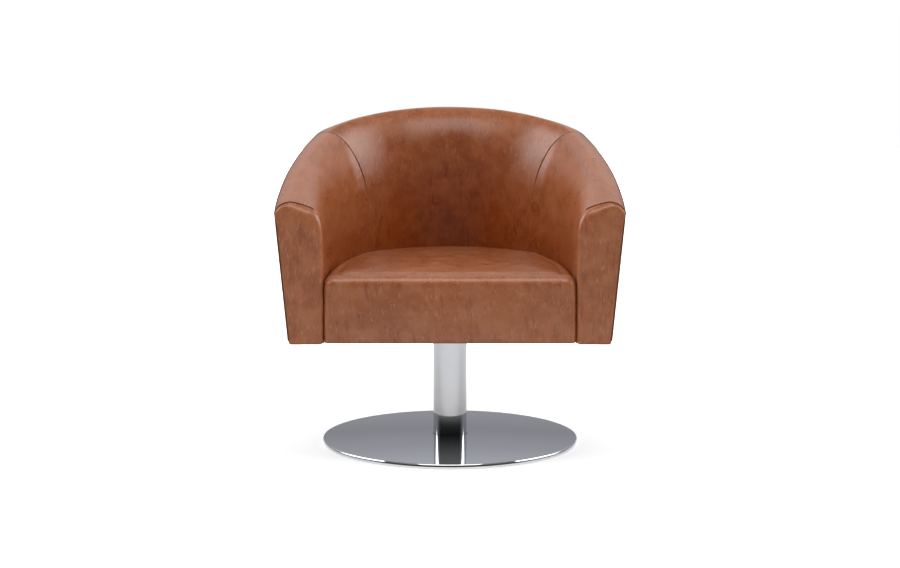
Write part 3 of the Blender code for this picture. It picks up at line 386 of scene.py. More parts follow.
def solid_mesh(name, points, faces, masks=None, smooth_angle=40.0):
    """An object of points and faces with its masks: faces out, and smooth up to an angle."""
    mesh = bpy.data.meshes.new(name)
    mesh.from_pydata([tuple(p) for p in points], [], faces)
    for key, values in (masks or {}).items():
        layer = mesh.attributes.new(key, "FLOAT", "POINT")
        layer.data.foreach_set("value", np.asarray(values, np.float32))
    bm = bmesh.new()
    bm.from_mesh(mesh)
    bmesh.ops.remove_doubles(bm, verts=bm.verts, dist=1e-6)
    bmesh.ops.recalc_face_normals(bm, faces=bm.faces)
    bm.to_mesh(mesh)
    bm.free()
    mesh.shade_smooth()
    mesh.set_sharp_from_angle(angle=math.radians(smooth_angle))
    piece = bpy.data.objects.new(name, mesh)
    bpy.context.scene.collection.objects.link(piece)
    return piece


def sheet_mesh(name, outer, inner, masks):
    """A closed sheet from two grids of points, with its masks stored on both faces."""
    rows, columns = outer.shape[:2]
    count = rows * columns
    index = np.arange(count).reshape(rows, columns)
    corners = (index[:-1, :-1], index[:-1, 1:], index[1:, 1:], index[1:, :-1])
    front = np.stack(corners, axis=2).reshape(-1, 4)
    edge = np.concatenate([index[0], index[1:, -1], index[-1, -2::-1], index[-2:0:-1, 0]])
    after = np.roll(edge, -1)
    border = np.stack([after, edge, edge + count, after + count], axis=1)
    faces = np.concatenate([front, front[:, ::-1] + count, border]).tolist()
    points = np.concatenate([outer.reshape(-1, 3), inner.reshape(-1, 3)])
    return solid_mesh(name, points, faces, {key: np.tile(mask.ravel(), 2) for key, mask in masks.items()})


def ring_mesh(name, rings, masks=None, smooth_angle=40.0):
    """A closed solid of rings of points, of which the last may be a single point."""
    points, rows = [], []
    for ring in rings:
        rows.append(list(range(len(points), len(points) + len(ring))))
        points += ring
    faces = []
    for low, high in zip(rows, rows[1:]):
        for i, here in enumerate(low):
            after = (i + 1) % len(low)
            above = (high[0],) if len(high) == 1 else (high[after], high[i])
            faces.append((here, low[after], *above))
    faces.append(tuple(reversed(rows[0])))
    if len(rows[-1]) > 1:
        faces.append(tuple(rows[-1]))
    return solid_mesh(name, points, faces, masks, smooth_angle)


def turned(name, outline, sides):
    """Turns a closed outline of (radius, height) points about the Z axis."""
    size = len(outline)
    points, faces = [], []
    for step in range(sides):
        angle = 2 * math.pi * step / sides
        points += [(r * math.cos(angle), r * math.sin(angle), z) for r, z in outline]
        here, after = step * size, (step + 1) % sides * size
        for i in range(size):
            j = (i + 1) % size
            faces.append((here + i, after + i, after + j, here + j))
    return solid_mesh(name, points, faces, smooth_angle=30.0)


def piping(name, points, radius):
    """A round cord along a line of points, closed at both ends."""
    sides, rings = 10, []
    up = Vector((0, 0, 1))
    for index, point in enumerate(points):
        run = (points[min(index + 1, len(points) - 1)] - points[max(index - 1, 0)]).normalized()
        side = run.cross(up).normalized()
        up = side.cross(run).normalized()
        turns = [2 * math.pi * k / sides for k in range(sides)]
        rings.append([point + (side * math.cos(turn) + up * math.sin(turn)) * radius for turn in turns])
    return ring_mesh(name, rings, smooth_angle=60.0)


# Pieces of the tub

SIDES = (
    ("right", FACING_BACK, SEAM),
    ("back", SEAM, RIM_LENGTH - SEAM),
    ("left", RIM_LENGTH - SEAM, RIM_LENGTH - FACING_BACK),
)


def undulation(point):
    """The slow rise and fall of leather drawn over foam."""
    return sum(height * noise.noise(point * scale + Vector(place)) for scale, height, place in WAVES)


def seam_pull(point, reach):
    """How far leather is drawn in at a distance from a seam, less the puckers beside it."""
    stitch, pull, pucker, pucker_scale = 0.0013, 0.0007, 0.00045, 60
    sink = stitch * hill(reach, 0.0, 0.0017) + pull * math.exp(-reach / 0.006)
    fading = math.exp(-reach / 0.016) * min(reach / 0.004, 1.0)
    return sink - pucker * fading * noise.noise(point * pucker_scale)


def drape(outer, inner, normals, distances, ends, soft, sewn):
    """Lets leather rise and fall over its foam, draws it in along its seams, and gives its masks, of which
    the seam mask carries painted shade.
    """
    seams = [end for end in ends if FACING_BACK < end < RIM_LENGTH - FACING_BACK]
    seam, wear = np.zeros(soft.shape), np.zeros(soft.shape)
    calm_reach, seam_width, wear_middle, wear_width = 0.03, 0.0019, 0.0045, 0.0022
    for i, distance in enumerate(distances):
        reach = min(abs(distance - end) for end in seams)
        calm = min(min(abs(distance - end) for end in ends) / calm_reach, 1.0)
        for j in range(outer.shape[1]):
            point = Vector(outer[i, j])
            lift = undulation(point) * calm * soft[i, j] - sewn[i, j] * seam_pull(point, reach)
            outer[i, j] += normals[i, j] * lift
            inner[i, j] += normals[i, j] * min(lift, 0)
        # The seam mask paints the shade of each seam's groove
        seam[i] = sewn[i] * hill(reach, 0.0, seam_width)
        wear[i] = sewn[i] * hill(reach, wear_middle, wear_width)
    return {"seam": seam, "wear": wear}


def lean_seam(distance, drop):
    """Moves a station so that the seams beside the back run backwards as they go down."""
    top_shift, foot_shift, by_drop, spread = -0.049, 0.057, 0.082, 0.17
    lean = mix(top_shift, foot_shift, 1 - math.exp(-drop / by_drop))
    shift = 0.0
    for seam, backwards in ((SEAM, 1), (RIM_LENGTH - SEAM, -1)):
        shift += backwards * lean * smooth(1 - abs(distance - seam) / spread)
    return distance + shift


def facing_edge(here, depth, height):
    """The rounding of an arm's front at a point of its padded outline, and how far back it reaches."""
    outer = fade(depth, 0.0, 0.012)
    fuller = fade(depth, 0.012, 0.055) * (1 - fade(crest(here) - height, 0.022, 0.05))
    radius = mix(mix(OUTER_ROUND, ARM_ROUND, outer), FULL_ROUND, fuller)
    return radius, max(radius + 2 * GAP, mix(OUTER_BACK, FACING_BACK, outer))


def meet_facing(distance, back):
    """Moves a station near an arm's front so that the leather starts where the facing's ends."""
    for front, way in ((FACING_BACK, 1), (RIM_LENGTH - FACING_BACK, -1)):
        distance += way * (back - FACING_BACK) * smooth(1 - abs(distance - front) / 0.05)
    return distance


def painted_depth_shade(drop, reach, height):
    """Painted shade in the tub's depth: how much the leather is darkened under the roll, low down and by
    the seat.
    """
    under_roll = 0.45 * fade(drop, 0.03, 0.05) * fade(reach, 0.52, 0.25)
    low_down = 0.55 * fade(drop, 0.09, 0.2) * fade(reach, 0.36, 0.26)
    by_seat = 0.7 * smooth((0.54 - height) / 0.1) * fade(reach, 0.03, 0.15)
    return under_roll + max(low_down, by_seat)


def inside_leather(side, start, end):
    """The leather over the roll and down the inner wall, from one seam to the next."""
    distances = spread_between(start, end, 0.007, side != "right", side != "left")
    front = station(0.0)
    backs = [facing_edge(front, *point)[1] for point in padded_line(front, RAIL_BOTTOM)]
    grids = [[], [], [], []]
    for distance in distances:
        straight = station(distance)
        row = []
        for j, (_, height) in enumerate(padded_line(straight, RAIL_BOTTOM)):
            drop = crest(straight) - height
            here = station(meet_facing(lean_seam(distance, drop), backs[j]))
            line = padded_line(here, RAIL_BOTTOM)
            under = offset_line(line, LEATHER)
            row.append((at_depth(here, *line[j]), at_depth(here, *under[j]), drop, front_reach(here)))
        for grid, values in zip(grids, zip(*row)):
            grid.append(values)
    outer, inner, drops, reaches = (np.array(grid) for grid in grids)
    # Painted shade: the leather is darkened under the roll, low down and by the seat
    painted_shade = np.vectorize(painted_depth_shade)(drops, reaches, outer[:, :, 2])
    soft = np.minimum(np.arange(outer.shape[1]) / 5, 1.0) * np.ones(drops.shape)
    sewn = np.vectorize(lambda drop: 1 - 0.9 * fade(drop, 0.1, 0.12))(drops)
    masks = drape(outer, inner, surface_normals(outer), distances, (start, end), soft, sewn)
    return sheet_mesh(f"inside_{side}", outer, inner, {**masks, "painted_shade": painted_shade})


def outside_line(here):
    """The outer wall from its turned-under edge up to the rim's welt."""
    low, top = SHELL_BOTTOM + HEM_ROUND, here.rim - WELT - rim_drop(here)
    wall = wall_depth(here, low)
    points = [(wall + depth, SHELL_BOTTOM) for depth in HEM_DEPTHS]
    points += quarter(wall + HEM_ROUND, low, HEM_ROUND, -math.pi / 2)
    shares = (0.03, 0.07, 0.13, 0.22, 0.35, 0.5, 0.65, 0.8, 0.9, 0.96, 0.985, 1.0)
    return points + wall_line(here, low, top, shares)


def outside_leather(side, start, end):
    """The leather outside the tub, turned under its lower edge, and the size that it is cut to."""
    start = OUTER_BACK if side == "right" else start
    end = RIM_LENGTH - OUTER_BACK if side == "left" else end
    distances = spread_between(start, end, 0.01, side != "right", side != "left")
    lines = [(station(d), outside_line(station(d))) for d in distances]
    outer = np.array([[at_depth(h, *p) for p in line] for h, line in lines])
    inner = np.array([[at_depth(h, *p) for p in offset_line(line, LEATHER)] for h, line in lines])
    shape, column = outer.shape[:2], np.arange(outer.shape[1])
    soft = 0.6 * np.minimum((shape[1] - 1 - column) / 3, 1.0) * (column >= HEM_POINTS) * np.ones(shape)
    masks = drape(outer, inner, surface_normals(outer), distances, (start, end), soft, np.ones(shape))
    # Painted shade on the leather turned under the tub, lighter round the turn
    under, round_the_turn = 0.6, 0.25
    hem_shade = np.where(column < 6, under, round_the_turn) * (column < HEM_POINTS)
    masks["seam"] = np.maximum(masks["seam"], hem_shade)
    return sheet_mesh(f"outside_{side}", outer, inner, masks), grid_size(outer)


def facing_outline(here):
    """An arm end's outline from the rim's corner, with each point's edge radius, reach and sewing."""
    low, top = SHELL_BOTTOM + FACING_CORNER, here.rim - rim_drop(here) - WELT
    inner = inner_wall(here, SEAT_CONTACT) - FACING_CORNER
    outer = wall_depth(here, low) + FACING_CORNER
    points = [(WELT, top, OUTER_ROUND, OUTER_BACK, 1)]
    for depth, height in padded_line(here, low)[:-1]:
        points.append((depth, height, *facing_edge(here, depth, height), int(depth < SEWN_DEPTH)))
    for step, point in enumerate(quarter(inner, low, FACING_CORNER, 0.0)):
        points.append((*point, mix(ARM_ROUND, FOOT_ROUND, step / CORNER_STEPS), FACING_BACK, 0))
    for share in (0.2, 0.4, 0.6, 0.8):
        points.append((mix(inner, outer, share), SHELL_BOTTOM, FOOT_ROUND, FACING_BACK, 0))
    for step, point in enumerate(quarter(outer, low, FACING_CORNER, -math.pi / 2)):
        share = step / CORNER_STEPS
        points.append((*point, mix(FOOT_ROUND, OUTER_ROUND, share), mix(FACING_BACK, OUTER_BACK, share), 0))
    shares = (0.05, 0.12, 0.22, 0.35, 0.5, 0.65, 0.78, 0.88, 0.94, 0.98)
    return points + [(*point, OUTER_ROUND, OUTER_BACK, 1) for point in wall_line(here, low, top, shares)]


def foot_shade(height, start):
    """Painted shade along a lower edge, which fades above a height."""
    shade, spread = 0.7, 0.003
    return shade * (1 - fade(height, start, spread))


def facing_leather(side, sign):
    """The leather stretched over an arm's front, rolled back over its edges."""
    front, behind = facing_outline(station(0.0)), facing_outline(station(FACING_BACK))
    line = [p[:2] for p in front]
    inwards = [(x - p[0], z - p[1]) for p, (x, z) in zip(line, offset_line(line, 1.0, closed=True))]

    def edge_ring(angle, straight=0.0, thin=0.0, deeper=0.0):
        """A ring round the edge: a right angle is its side, and nought is the flat front."""
        points = []
        for p, q, (nx, nz) in zip(front, behind, inwards):
            back = mix(p[2] * (1 - math.cos(angle)), p[3], straight)
            inset = p[2] * (1 - math.sin(angle)) + thin
            depth = mix(p[0], q[0], back / FACING_BACK) + nx * inset
            height = mix(p[1], q[1], back / FACING_BACK) + nz * inset
            points.append(Vector((sign * (WIDTH / 2 - depth), SHELL_FRONT + back + deeper, height)))
        return points

    rings = [edge_ring(math.pi / 2, 1.0), edge_ring(math.pi / 2, 0.5)]
    rings += [edge_ring(math.pi / 2 * step / ROUND_STEPS) for step in range(ROUND_STEPS, -1, -1)]
    border = rings[-1]
    fullest, middle, lowest, highest = 0.0012, 0.066, SHELL_BOTTOM + 0.05, RIM_FRONT - 0.045
    for share in (0.06, 0.16, 0.3, 0.48, 0.68, 0.88):
        swell = fullest * math.sin(math.pi / 2 * min(share * 1.3, 1.0))
        ring = []
        for point in border:
            x = mix(point.x, sign * (WIDTH / 2 - middle), share)
            z = mix(point.z, min(max(point.z, lowest), highest), share)
            wave = 0.6 * undulation(Vector((x, SHELL_FRONT, z))) * min(share * 2, 1.0)
            ring.append(Vector((x, SHELL_FRONT - swell - wave, z)))
        rings.append(ring)
    inner = []
    for angle, straight in ((0.15, 0.0), (math.pi / 4, 0.0), (math.pi / 2, 0.2), (math.pi / 2, 1.0)):
        deeper = LEATHER * (1 - math.sin(angle) * 0.9) * (straight < 1)
        inner.append(edge_ring(angle, straight, LEATHER * math.sin(angle), deeper))
    wear, seam = [0.0] * (len(front) * len(inner)), [0.0] * (len(front) * len(inner))
    for k, ring in enumerate(rings):
        for p, point in zip(front, ring):
            wear.append(0.35 * fade(point.z, RIM_FRONT - 0.07, 0.06) * hill(k, 8, 3))
            # Painted shade along the sewn edge and along the foot
            seam.append(max(p[4] * max(0.0, 1 - k / 2.5), foot_shade(point.z, SHELL_BOTTOM + 0.001)))
    return ring_mesh(f"facing_{side}", inner + rings, {"wear": wear, "seam": seam})


def rim_welt():
    """The piping sewn in along the rim."""
    start, rise = OUTER_BACK + PIPING_SETBACK, 0.0002
    path = []
    for distance in spread_between(start, RIM_LENGTH - start, 0.008):
        here = station(distance)
        path.append(at_depth(here, WELT, here.rim - rim_drop(here) + rise))
    return piping("piping_rim", path, WELT)


def facing_welt(side, sign):
    """The piping up an arm's outer front edge and over the arm, as far as its seam runs."""
    front = station(0.0)
    start, setback, top_drop = 0.0007, OUTER_BACK - PIPING_SETBACK, 0.001
    here = station(setback)
    bottom, top = SHELL_BOTTOM + FACING_CORNER, here.rim - rim_drop(here) - top_drop
    path = []
    for share in np.linspace(0, 1, 40):
        height = mix(bottom, top, share)
        back = mix(start, setback, fade(share, 0.9, 0.1))
        path.append((wall_depth(here, height) + 2 * GAP, back, height))
    for j, (depth, height) in enumerate(padded_line(front, bottom)):
        if 0 < j and depth < SEWN_DEPTH:
            back = facing_edge(front, depth, height)[1] - GAP
            depth, height = padded_line(station(back), bottom)[j]
            path.append((depth, back, height))
    points = [Vector((sign * (WIDTH / 2 - depth), SHELL_FRONT + back, z)) for depth, back, z in path]
    tail = (points[-1] - points[-2]).normalized() * 0.003 - Vector((0, 0, 0.0022))
    return piping(f"piping_{side}", points + [points[-1] + tail], FACING_WELT)


# The seat

def seat_outline(inset, corner=SEAT_CORNER):
    """Plan of the seat, drawn in by an inset, from the front's right corner round to the left."""
    corner = max(corner - inset, SEAT_LEAST_CORNER)
    front, half = SEAT_FRONT + inset, WIDTH / 2 - INNER_WALL[0] - SEAT_GAP - inset - corner
    turn = quarter(half, front + corner, corner, 0.0)
    points = turn[::-1]
    for distance in spread_between(0.05, RIM_LENGTH - 0.05, 0.012):
        here = station(distance)
        p = at_depth(here, inner_wall(here, SEAT_CONTACT) + SEAT_GAP + inset, 0)
        points.append((p.x, p.y))
    points += [(-x, y) for x, y in turn]
    return points + [(half * share, front) for share in np.linspace(-1, 1, 34)[1:-1]]


def seat_cover():
    """The tight seat: boxed front, rolled upper edge, a slight dip behind it and a crowned top."""
    middle = station(HALF_LENGTH)
    back = at_depth(middle, inner_wall(middle, SEAT_CONTACT), 0).y
    centre = (SEAT_FRONT + back) / 2
    outline, rounder = seat_outline(0.0), seat_outline(0.0, SEAT_TOP_CORNER)
    low, top = SEAT_BOTTOM + SEAT_FOOT_ROUND, SEAT_EDGE + SEAT_ROLL_RISE
    top_share = 1 - SEAT_ROLL_SHARE

    def climb(y):
        """The seat rises towards the back."""
        return SEAT_BACK_RISE * max((y - SEAT_FRONT) / (back - SEAT_FRONT), 0.0) ** 3

    def top_ring(share, height):
        """A ring of the upper side, drawn in towards the middle."""
        places = [(x * share, centre + (y - centre) * share) for x, y in rounder]
        return [Vector((x, y, height + climb(y))) for x, y in places]

    def bulge(x, y, height):
        """The front face swells a little between its edges."""
        swell, half_width = 0.002, 0.26
        if y > SEAT_FRONT + 0.02:
            return 0.0
        up = (height - SEAT_BOTTOM) / (SEAT_EDGE - SEAT_BOTTOM)
        across = 1 - (abs(x) / half_width) ** 4
        return swell * math.sin(math.pi * min(max(up, 0), 1)) * max(across, 0)

    levels = [(inset, SEAT_BOTTOM) for inset in (0.02, 0.012, 0.006, SEAT_FOOT_ROUND)]
    for step in range(1, 5):
        angle = math.pi / 2 * step / 4
        levels.append((SEAT_FOOT_ROUND * (1 - math.sin(angle)), mix(low, SEAT_BOTTOM, math.cos(angle))))
    rings = [[Vector((x, y, height)) for x, y in seat_outline(inset)] for inset, height in levels]
    front_start = len(rings)
    for share in (0.06, 0.14, 0.25, 0.38, 0.52, 0.66, 0.8, 0.92):
        height = mix(low, SEAT_EDGE, share)
        pairs = zip(outline, rounder)
        places = [(mix(a, c, share ** 3), mix(b, d, share ** 3)) for (a, b), (c, d) in pairs]
        rings.append([Vector((x, y - bulge(x, y, height), height)) for x, y in places])
    roll_start = len(rings)
    for step in range(SEAT_ROLL_STEPS + 1):
        angle = math.pi / 2 * step / SEAT_ROLL_STEPS
        share = 1 - SEAT_ROLL_SHARE * (1 - math.cos(angle))
        rings.append(top_ring(share, SEAT_EDGE + SEAT_ROLL_RISE * math.sin(angle)))
    top_start = len(rings)
    dip, dip_share, dip_width = 0.0016, 0.895, 0.02
    for share in SEAT_TOP_SHARES:
        crown = SEAT_CROWN_RISE * (1 - (share / top_share) ** 3.2) * smooth((top_share - share) / 0.08)
        rings.append(top_ring(share, top + crown - dip * hill(share, dip_share, dip_width)))
    rings.append([Vector((0, centre, top + SEAT_CROWN_RISE + climb(centre)))])

    wear, seam = [], []
    for k, ring in enumerate(rings):
        calm = 1.0 if k > roll_start + 2 else 0.35 if k > front_start else 0.0
        for i, p in enumerate(ring):
            if k < top_start:
                way = Vector((0, -1 if p.y < SEAT_FRONT + 0.03 else 0, 0))
            else:
                way = Vector((0, 0, 1))
            ring[i] = p + way * (undulation(p) * calm)
            # Painted shade along the seat's lower edge
            seam.append(foot_shade(ring[i].z, SEAT_BOTTOM + 0.0013))
            wear.append(hill(k, roll_start + SEAT_ROLL_STEPS / 2, 3.5))
    return ring_mesh("seat_cover", rings, {"wear": wear, "seam": seam})


# The base

def dome(radius):
    """The height of the disc's upper face."""
    return BASE_RIM_HEIGHT + BASE_DOME_RISE * (1 - (radius / BASE_RADIUS) ** 2)


def base_disc():
    """The polished cover of the base: a low dome with a small rounded edge."""
    groove, lip, steps = COLUMN_RADIUS + 0.0012, BASE_RADIUS - 0.0026, 6
    outline = [(groove, dome(groove) - BASE_SHEET), (groove, dome(groove) - FINE_EDGE)]
    outline.append((groove + FINE_EDGE, dome(groove)))
    outline += [(radius, dome(radius)) for radius in np.linspace(groove + 0.002, lip - 0.001, 24)]
    radius, height = lip, dome(lip)
    outline.append((radius, height))
    for first, last, length in BASE_EDGE:
        for step in range(steps):
            slope = math.radians(mix(first, last, (step + 0.5) / steps))
            radius += length / steps * math.cos(slope)
            height -= length / steps * math.sin(slope)
            outline.append((radius, height))
    inside = radius - BASE_SHEET
    outline += [(radius, 0.0015), (radius - 0.0004, BASE_BOTTOM), (inside, BASE_BOTTOM), (inside, 0.0035)]
    outline.append((lip, 0.0066))
    outline += [(radius, dome(radius) - BASE_SHEET) for radius in np.linspace(lip - 0.01, groove + 0.01, 8)]
    return turned("base_disc", outline[::-1], 192)


def column():
    """The polished tube between the base and the seat."""
    foot, top = (corner.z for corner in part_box("column_tube"))
    wall, rounding, cover = 0.003, 0.0006, dome(COLUMN_RADIUS)
    inside = COLUMN_RADIUS - wall
    outline = [(inside, foot), (COLUMN_RADIUS - FINE_EDGE, foot), (COLUMN_RADIUS, foot + FINE_EDGE)]
    outline += [(COLUMN_RADIUS, height) for height in (cover, mix(cover, top, 0.5), top - rounding)]
    outline += [(COLUMN_RADIUS - rounding, top), (inside, top)]
    return turned("column", outline, 128)


# The lining

def dust_cover():
    """Black lining under the tub, pulled tight, with a slight sag and an opening for the plate."""
    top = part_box("dust_cover")[1].z
    thickness, sag, inset, half_opening, step = 0.0005, 0.0018, 0.0256, 0.103, 0.02
    shares = (0.0, 0.04, 0.12, 0.25, 0.4, 0.55, 0.7, 0.85, 0.95, 1.0)
    rows = []
    for distance in spread_between(step, RIM_LENGTH - step, step):
        here = station(distance)
        x, y, _ = at_depth(here, wall_depth(here, SHELL_BOTTOM + HEM_ROUND) + inset, 0)
        scale = half_opening / max(abs(x), abs(y))
        rows.append([
            (mix(x, x * scale, share), mix(y, y * scale, share), top - sag * math.sin(math.pi * share))
            for share in shares
        ])
    upper = np.array(rows)
    plain = np.zeros(upper.shape[:2])
    return sheet_mesh("under_lining", upper, upper - (0, 0, thickness), {"seam": plain, "wear": plain})


# Finishes

def group(name, inputs, outputs):
    """An empty node group, with the sockets that its nodes read and feed."""
    tree = bpy.data.node_groups.new(name, "ShaderNodeTree")
    for way, sockets in (("INPUT", inputs), ("OUTPUT", outputs)):
        for label, kind in sockets:
            tree.interface.new_socket(label, in_out=way, socket_type=f"NodeSocket{kind}")
    return tree, tree.nodes.new("NodeGroupInput").outputs, tree.nodes.new("NodeGroupOutput").inputs


def feed(socket, value):
    """Gives a socket a number, a place, a colour or another socket's output."""
    if isinstance(value, bpy.types.NodeSocket):
        socket.id_data.links.new(value, socket)
    else:
        socket.default_value = (*value, 1.0) if socket.type == "RGBA" else value


def node(kind, inputs=None, tree=None, **settings):
    """Adds a node with its inputs and settings, by default to the tree that its inputs come from."""
    inputs = inputs or {}
    tree = tree or next(v.id_data for v in inputs.values() if isinstance(v, bpy.types.NodeSocket))
    made = tree.nodes.new(kind)
    for key, value in settings.items():
        setattr(made, key, value)
    for key, value in inputs.items():
        feed(made.inputs[key], value)
    return made


def sums(operation, *values, clamp=False):
    """A Math node on sockets or numbers."""
    return node("ShaderNodeMath", dict(enumerate(values)), operation=operation, use_clamp=clamp).outputs[0]


def times(first, second):
    """Two values multiplied."""
    return sums("MULTIPLY", first, second)


def most(first, second):
    """The larger of two values."""
    return sums("MAXIMUM", first, second)


def plus(first, *others, clamp=False):
    """Adds values in turn, and holds the last sum between nought and one if it is clamped."""
    for index, other in enumerate(others, 1):
        first = sums("ADD", first, other, clamp=clamp and index == len(others))
    return first


def spans(*levels):
    """Maps a value's range onto another, nought to one if none is given, held at its ends."""
    return node("ShaderNodeMapRange", dict(enumerate(levels)), interpolation_type="SMOOTHSTEP").outputs[0]


def tint(factor, first, second, blend="MIX"):
    """Mixes two colours, given as sockets or as plain colours."""
    inputs = {0: factor, 6: first, 7: second}
    return node("ShaderNodeMix", inputs, data_type="RGBA", blend_type=blend, clamp_factor=True).outputs[2]


def ramp(value, stops):
    """Levels at given places along a value, straight between them."""
    made = node("ShaderNodeValToRGB", {0: value})
    elements = made.color_ramp.elements
    while len(elements) < len(stops):
        elements.new(0.5)
    for element, (place, level) in zip(elements, stops):
        element.position = place
        element.color = (level, level, level, 1.0)
    return made.outputs[0]


def stretched(vector, scale, shift=(0.0, 0.0, 0.0), turn=(0.0, 0.0, 0.0)):
    """A place in a texture, scaled, shifted and turned."""
    turn = [math.radians(angle) for angle in turn]
    inputs = {"Vector": vector, "Location": shift, "Rotation": turn, "Scale": scale}
    return node("ShaderNodeMapping", inputs).outputs[0]


def clouds(vector, scale, detail=3.0, rough=0.55, distortion=0.0):
    """Soft noise between nought and one."""
    inputs = {"Vector": vector, "Scale": scale, "Detail": detail, "Roughness": rough}
    return node("ShaderNodeTexNoise", {**inputs, "Distortion": distortion}).outputs["Fac"]


def own_place(tree, system="Object"):
    """A place on the object itself, or a direction in the world."""
    return node("ShaderNodeTexCoord", tree=tree).outputs[system]


def hide_group():
    """Aged, waxed leather: mottled colour, rubbed veins, short scuffs, grain and worn edges, and painted
    shade.
    """
    tree, given, result = group(
        "aged_hide",
        (("Vector", "Vector"), ("Seam", "Float"), ("Wear", "Float"), ("Painted_shade", "Float")),
        (("Color", "Color"), ("Roughness", "Float"), ("Height", "Float")),
    )
    vector, seam = given["Vector"], given["Seam"]

    def over(colour, mask, strength, paint):
        """A colour laid over another where a mask is."""
        return tint(times(mask, strength), colour, paint)

    def patches(low, high, *texture):
        """Soft-edged patches, cut from noise between two levels."""
        return spans(clouds(vector, *texture), low, high)

    def marks(source, scale, detail, rough, low, high, where):
        """Drawn-out marks, cut from noise between two levels, that show only in patches."""
        return times(spans(clouds(stretched(source, scale), 1.0, detail, rough), low, high), where)

    patch = clouds(vector, 26.0, 6.0, 0.62, 0.2)
    fine = clouds(vector, 120.0, 5.0, 0.65, 0.2)
    colour = tint(patches(0.3, 0.7, 5.5, 3.0, 0.55, 0.3), HIDE_DEEP, HIDE_MID)
    colour = tint(spans(patch, 0.38, 0.66, 0.0, 0.95), colour, HIDE_TAN)
    colour = over(colour, patches(0.56, 0.74, 17.0, 5.0, 0.6), 0.3, HIDE_DARK)
    colour = tint(spans(fine, 0.3, 0.75, 0.0, 0.22), colour, HIDE_LIGHT)

    warp = node("ShaderNodeTexNoise", {"Vector": vector, "Scale": 38.0, "Detail": 3.0}).outputs["Color"]
    inputs = {0: warp, 1: (0.008, 0.008, 0.008), 2: vector}
    bent = node("ShaderNodeVectorMath", inputs, operation="MULTIPLY_ADD").outputs[0]
    cells = {"Vector": stretched(bent, (1.0, 1.0, 0.5)), "Scale": 95.0}
    veins = node("ShaderNodeTexVoronoi", cells, feature="DISTANCE_TO_EDGE").outputs["Distance"]
    vein = times(spans(veins, 0.0, 0.09, 1.0, 0.0), patches(0.53, 0.68, 24.0, 5.0, 0.65))
    scuff = marks(bent, (240.0, 240.0, 60.0), 1.5, 0.5, 0.55, 0.65, patches(0.47, 0.58, 33.0, 4.0, 0.65))
    cross = marks(bent, (60.0, 60.0, 380.0), 2.0, 0.6, 0.64, 0.78, patches(0.55, 0.66, 27.0))
    streak = marks(bent, (130.0, 130.0, 17.0), 2.0, 0.55, 0.52, 0.62, patches(0.42, 0.58, 12.0, 2.0, 0.5))
    dark = marks(vector, (120.0, 120.0, 22.0), 1.0, 0.5, 0.52, 0.66, patches(0.45, 0.62, 19.0, 2.0, 0.5))
    colour = over(colour, streak, 0.5, HIDE_STREAK)
    colour = over(colour, dark, 0.4, HIDE_DARK)
    rubbed = most(times(vein, 0.5), most(scuff, cross))
    colour = over(colour, rubbed, 0.5, HIDE_RUB)
    # Painted shade in the tub's depth, multiplied into the colour
    colour = tint(given["Painted_shade"], colour, tint(1.0, colour, HIDE_PAINTED_SHADE, "MULTIPLY"))
    wear = times(given["Wear"], spans(patch, 0.3, 0.6, 0.35, 1.0))
    colour = over(colour, wear, 0.42, HIDE_RUB)
    # Painted shade at seams and lower edges, in the dark edge colour
    colour = over(colour, seam, 0.85, HIDE_EDGE_SHADE)

    uneven = plus(times(sums("SUBTRACT", patch, 0.5), 0.22), HIDE_ROUGHNESS)
    rough = plus(uneven, times(rubbed, 0.08), times(wear, -0.05), times(seam, 0.2), clamp=True)
    pores = node("ShaderNodeTexVoronoi", {"Vector": bent, "Scale": 620.0}).outputs["Distance"]
    grain = plus(times(spans(pores, 0.0, 0.7), 0.26), times(fine, 0.42), times(clouds(vector, 55.0), 0.9))
    for socket, value in zip(result, (colour, rough, plus(grain, times(rubbed, -0.3)))):
        feed(socket, value)
    return tree


def new_material(name, **values):
    """A material with its tree and its shader's inputs, some of whose values are set."""
    material = bpy.data.materials.new(name)
    material.use_nodes = True
    shader = material.node_tree.nodes["Principled BSDF"].inputs
    for key, value in values.items():
        feed(shader[key.replace("_", " ")], value)
    return material, material.node_tree, shader


def bumped(shader, height, strength, depth):
    """Raises and lowers a surface by a height between nought and one."""
    inputs = {"Height": height, "Strength": strength, "Distance": depth}
    feed(shader["Normal"], node("ShaderNodeBump", inputs).outputs["Normal"])


def leather(name, hide, shift, dark=0.0, along=1.0, tilt=(0.0, 0.0)):
    """Leather with its own piece of hide, shifted so that no two panels carry the same marks.

    Its marks are drawn out along the depth where along is under one, and tilted about the X and Y
    axes in degrees. It can be darkened by a share.
    """
    material, tree, shader = new_material(name, Specular_IOR_Level=0.12 if dark else 0.5)
    inputs = {"Vector": stretched(own_place(tree), (1.0, along, 1.0), shift, (*tilt, 0.0))}
    for mask in ("Seam", "Wear", "Painted_shade"):
        inputs[mask] = node("ShaderNodeAttribute", tree=tree, attribute_name=mask.lower()).outputs["Fac"]
    colour, rough, height = node("ShaderNodeGroup", inputs, node_tree=hide).outputs
    feed(shader["Base Color"], tint(dark, colour, HIDE_EDGE_SHADE) if dark else colour)
    feed(shader["Roughness"], rough)
    bumped(shader, height, 0.35, 0.0005)
    return material


def polished(name, colour):
    """Polished plated steel with faint wiping marks."""
    rough, smudge = 0.03, 0.03
    material, tree, shader = new_material(name, Metallic=1.0)
    wipe = clouds(stretched(own_place(tree), (9.0, 9.0, 30.0)), 1.0, 5.0, 0.6, 0.4)
    feed(shader["Roughness"], plus(times(spans(wipe, 0.35, 0.75), smudge), rough))
    feed(shader["Base Color"], tint(spans(wipe, 0.3, 0.8), colour, tuple(c * 0.95 for c in colour)))
    return material


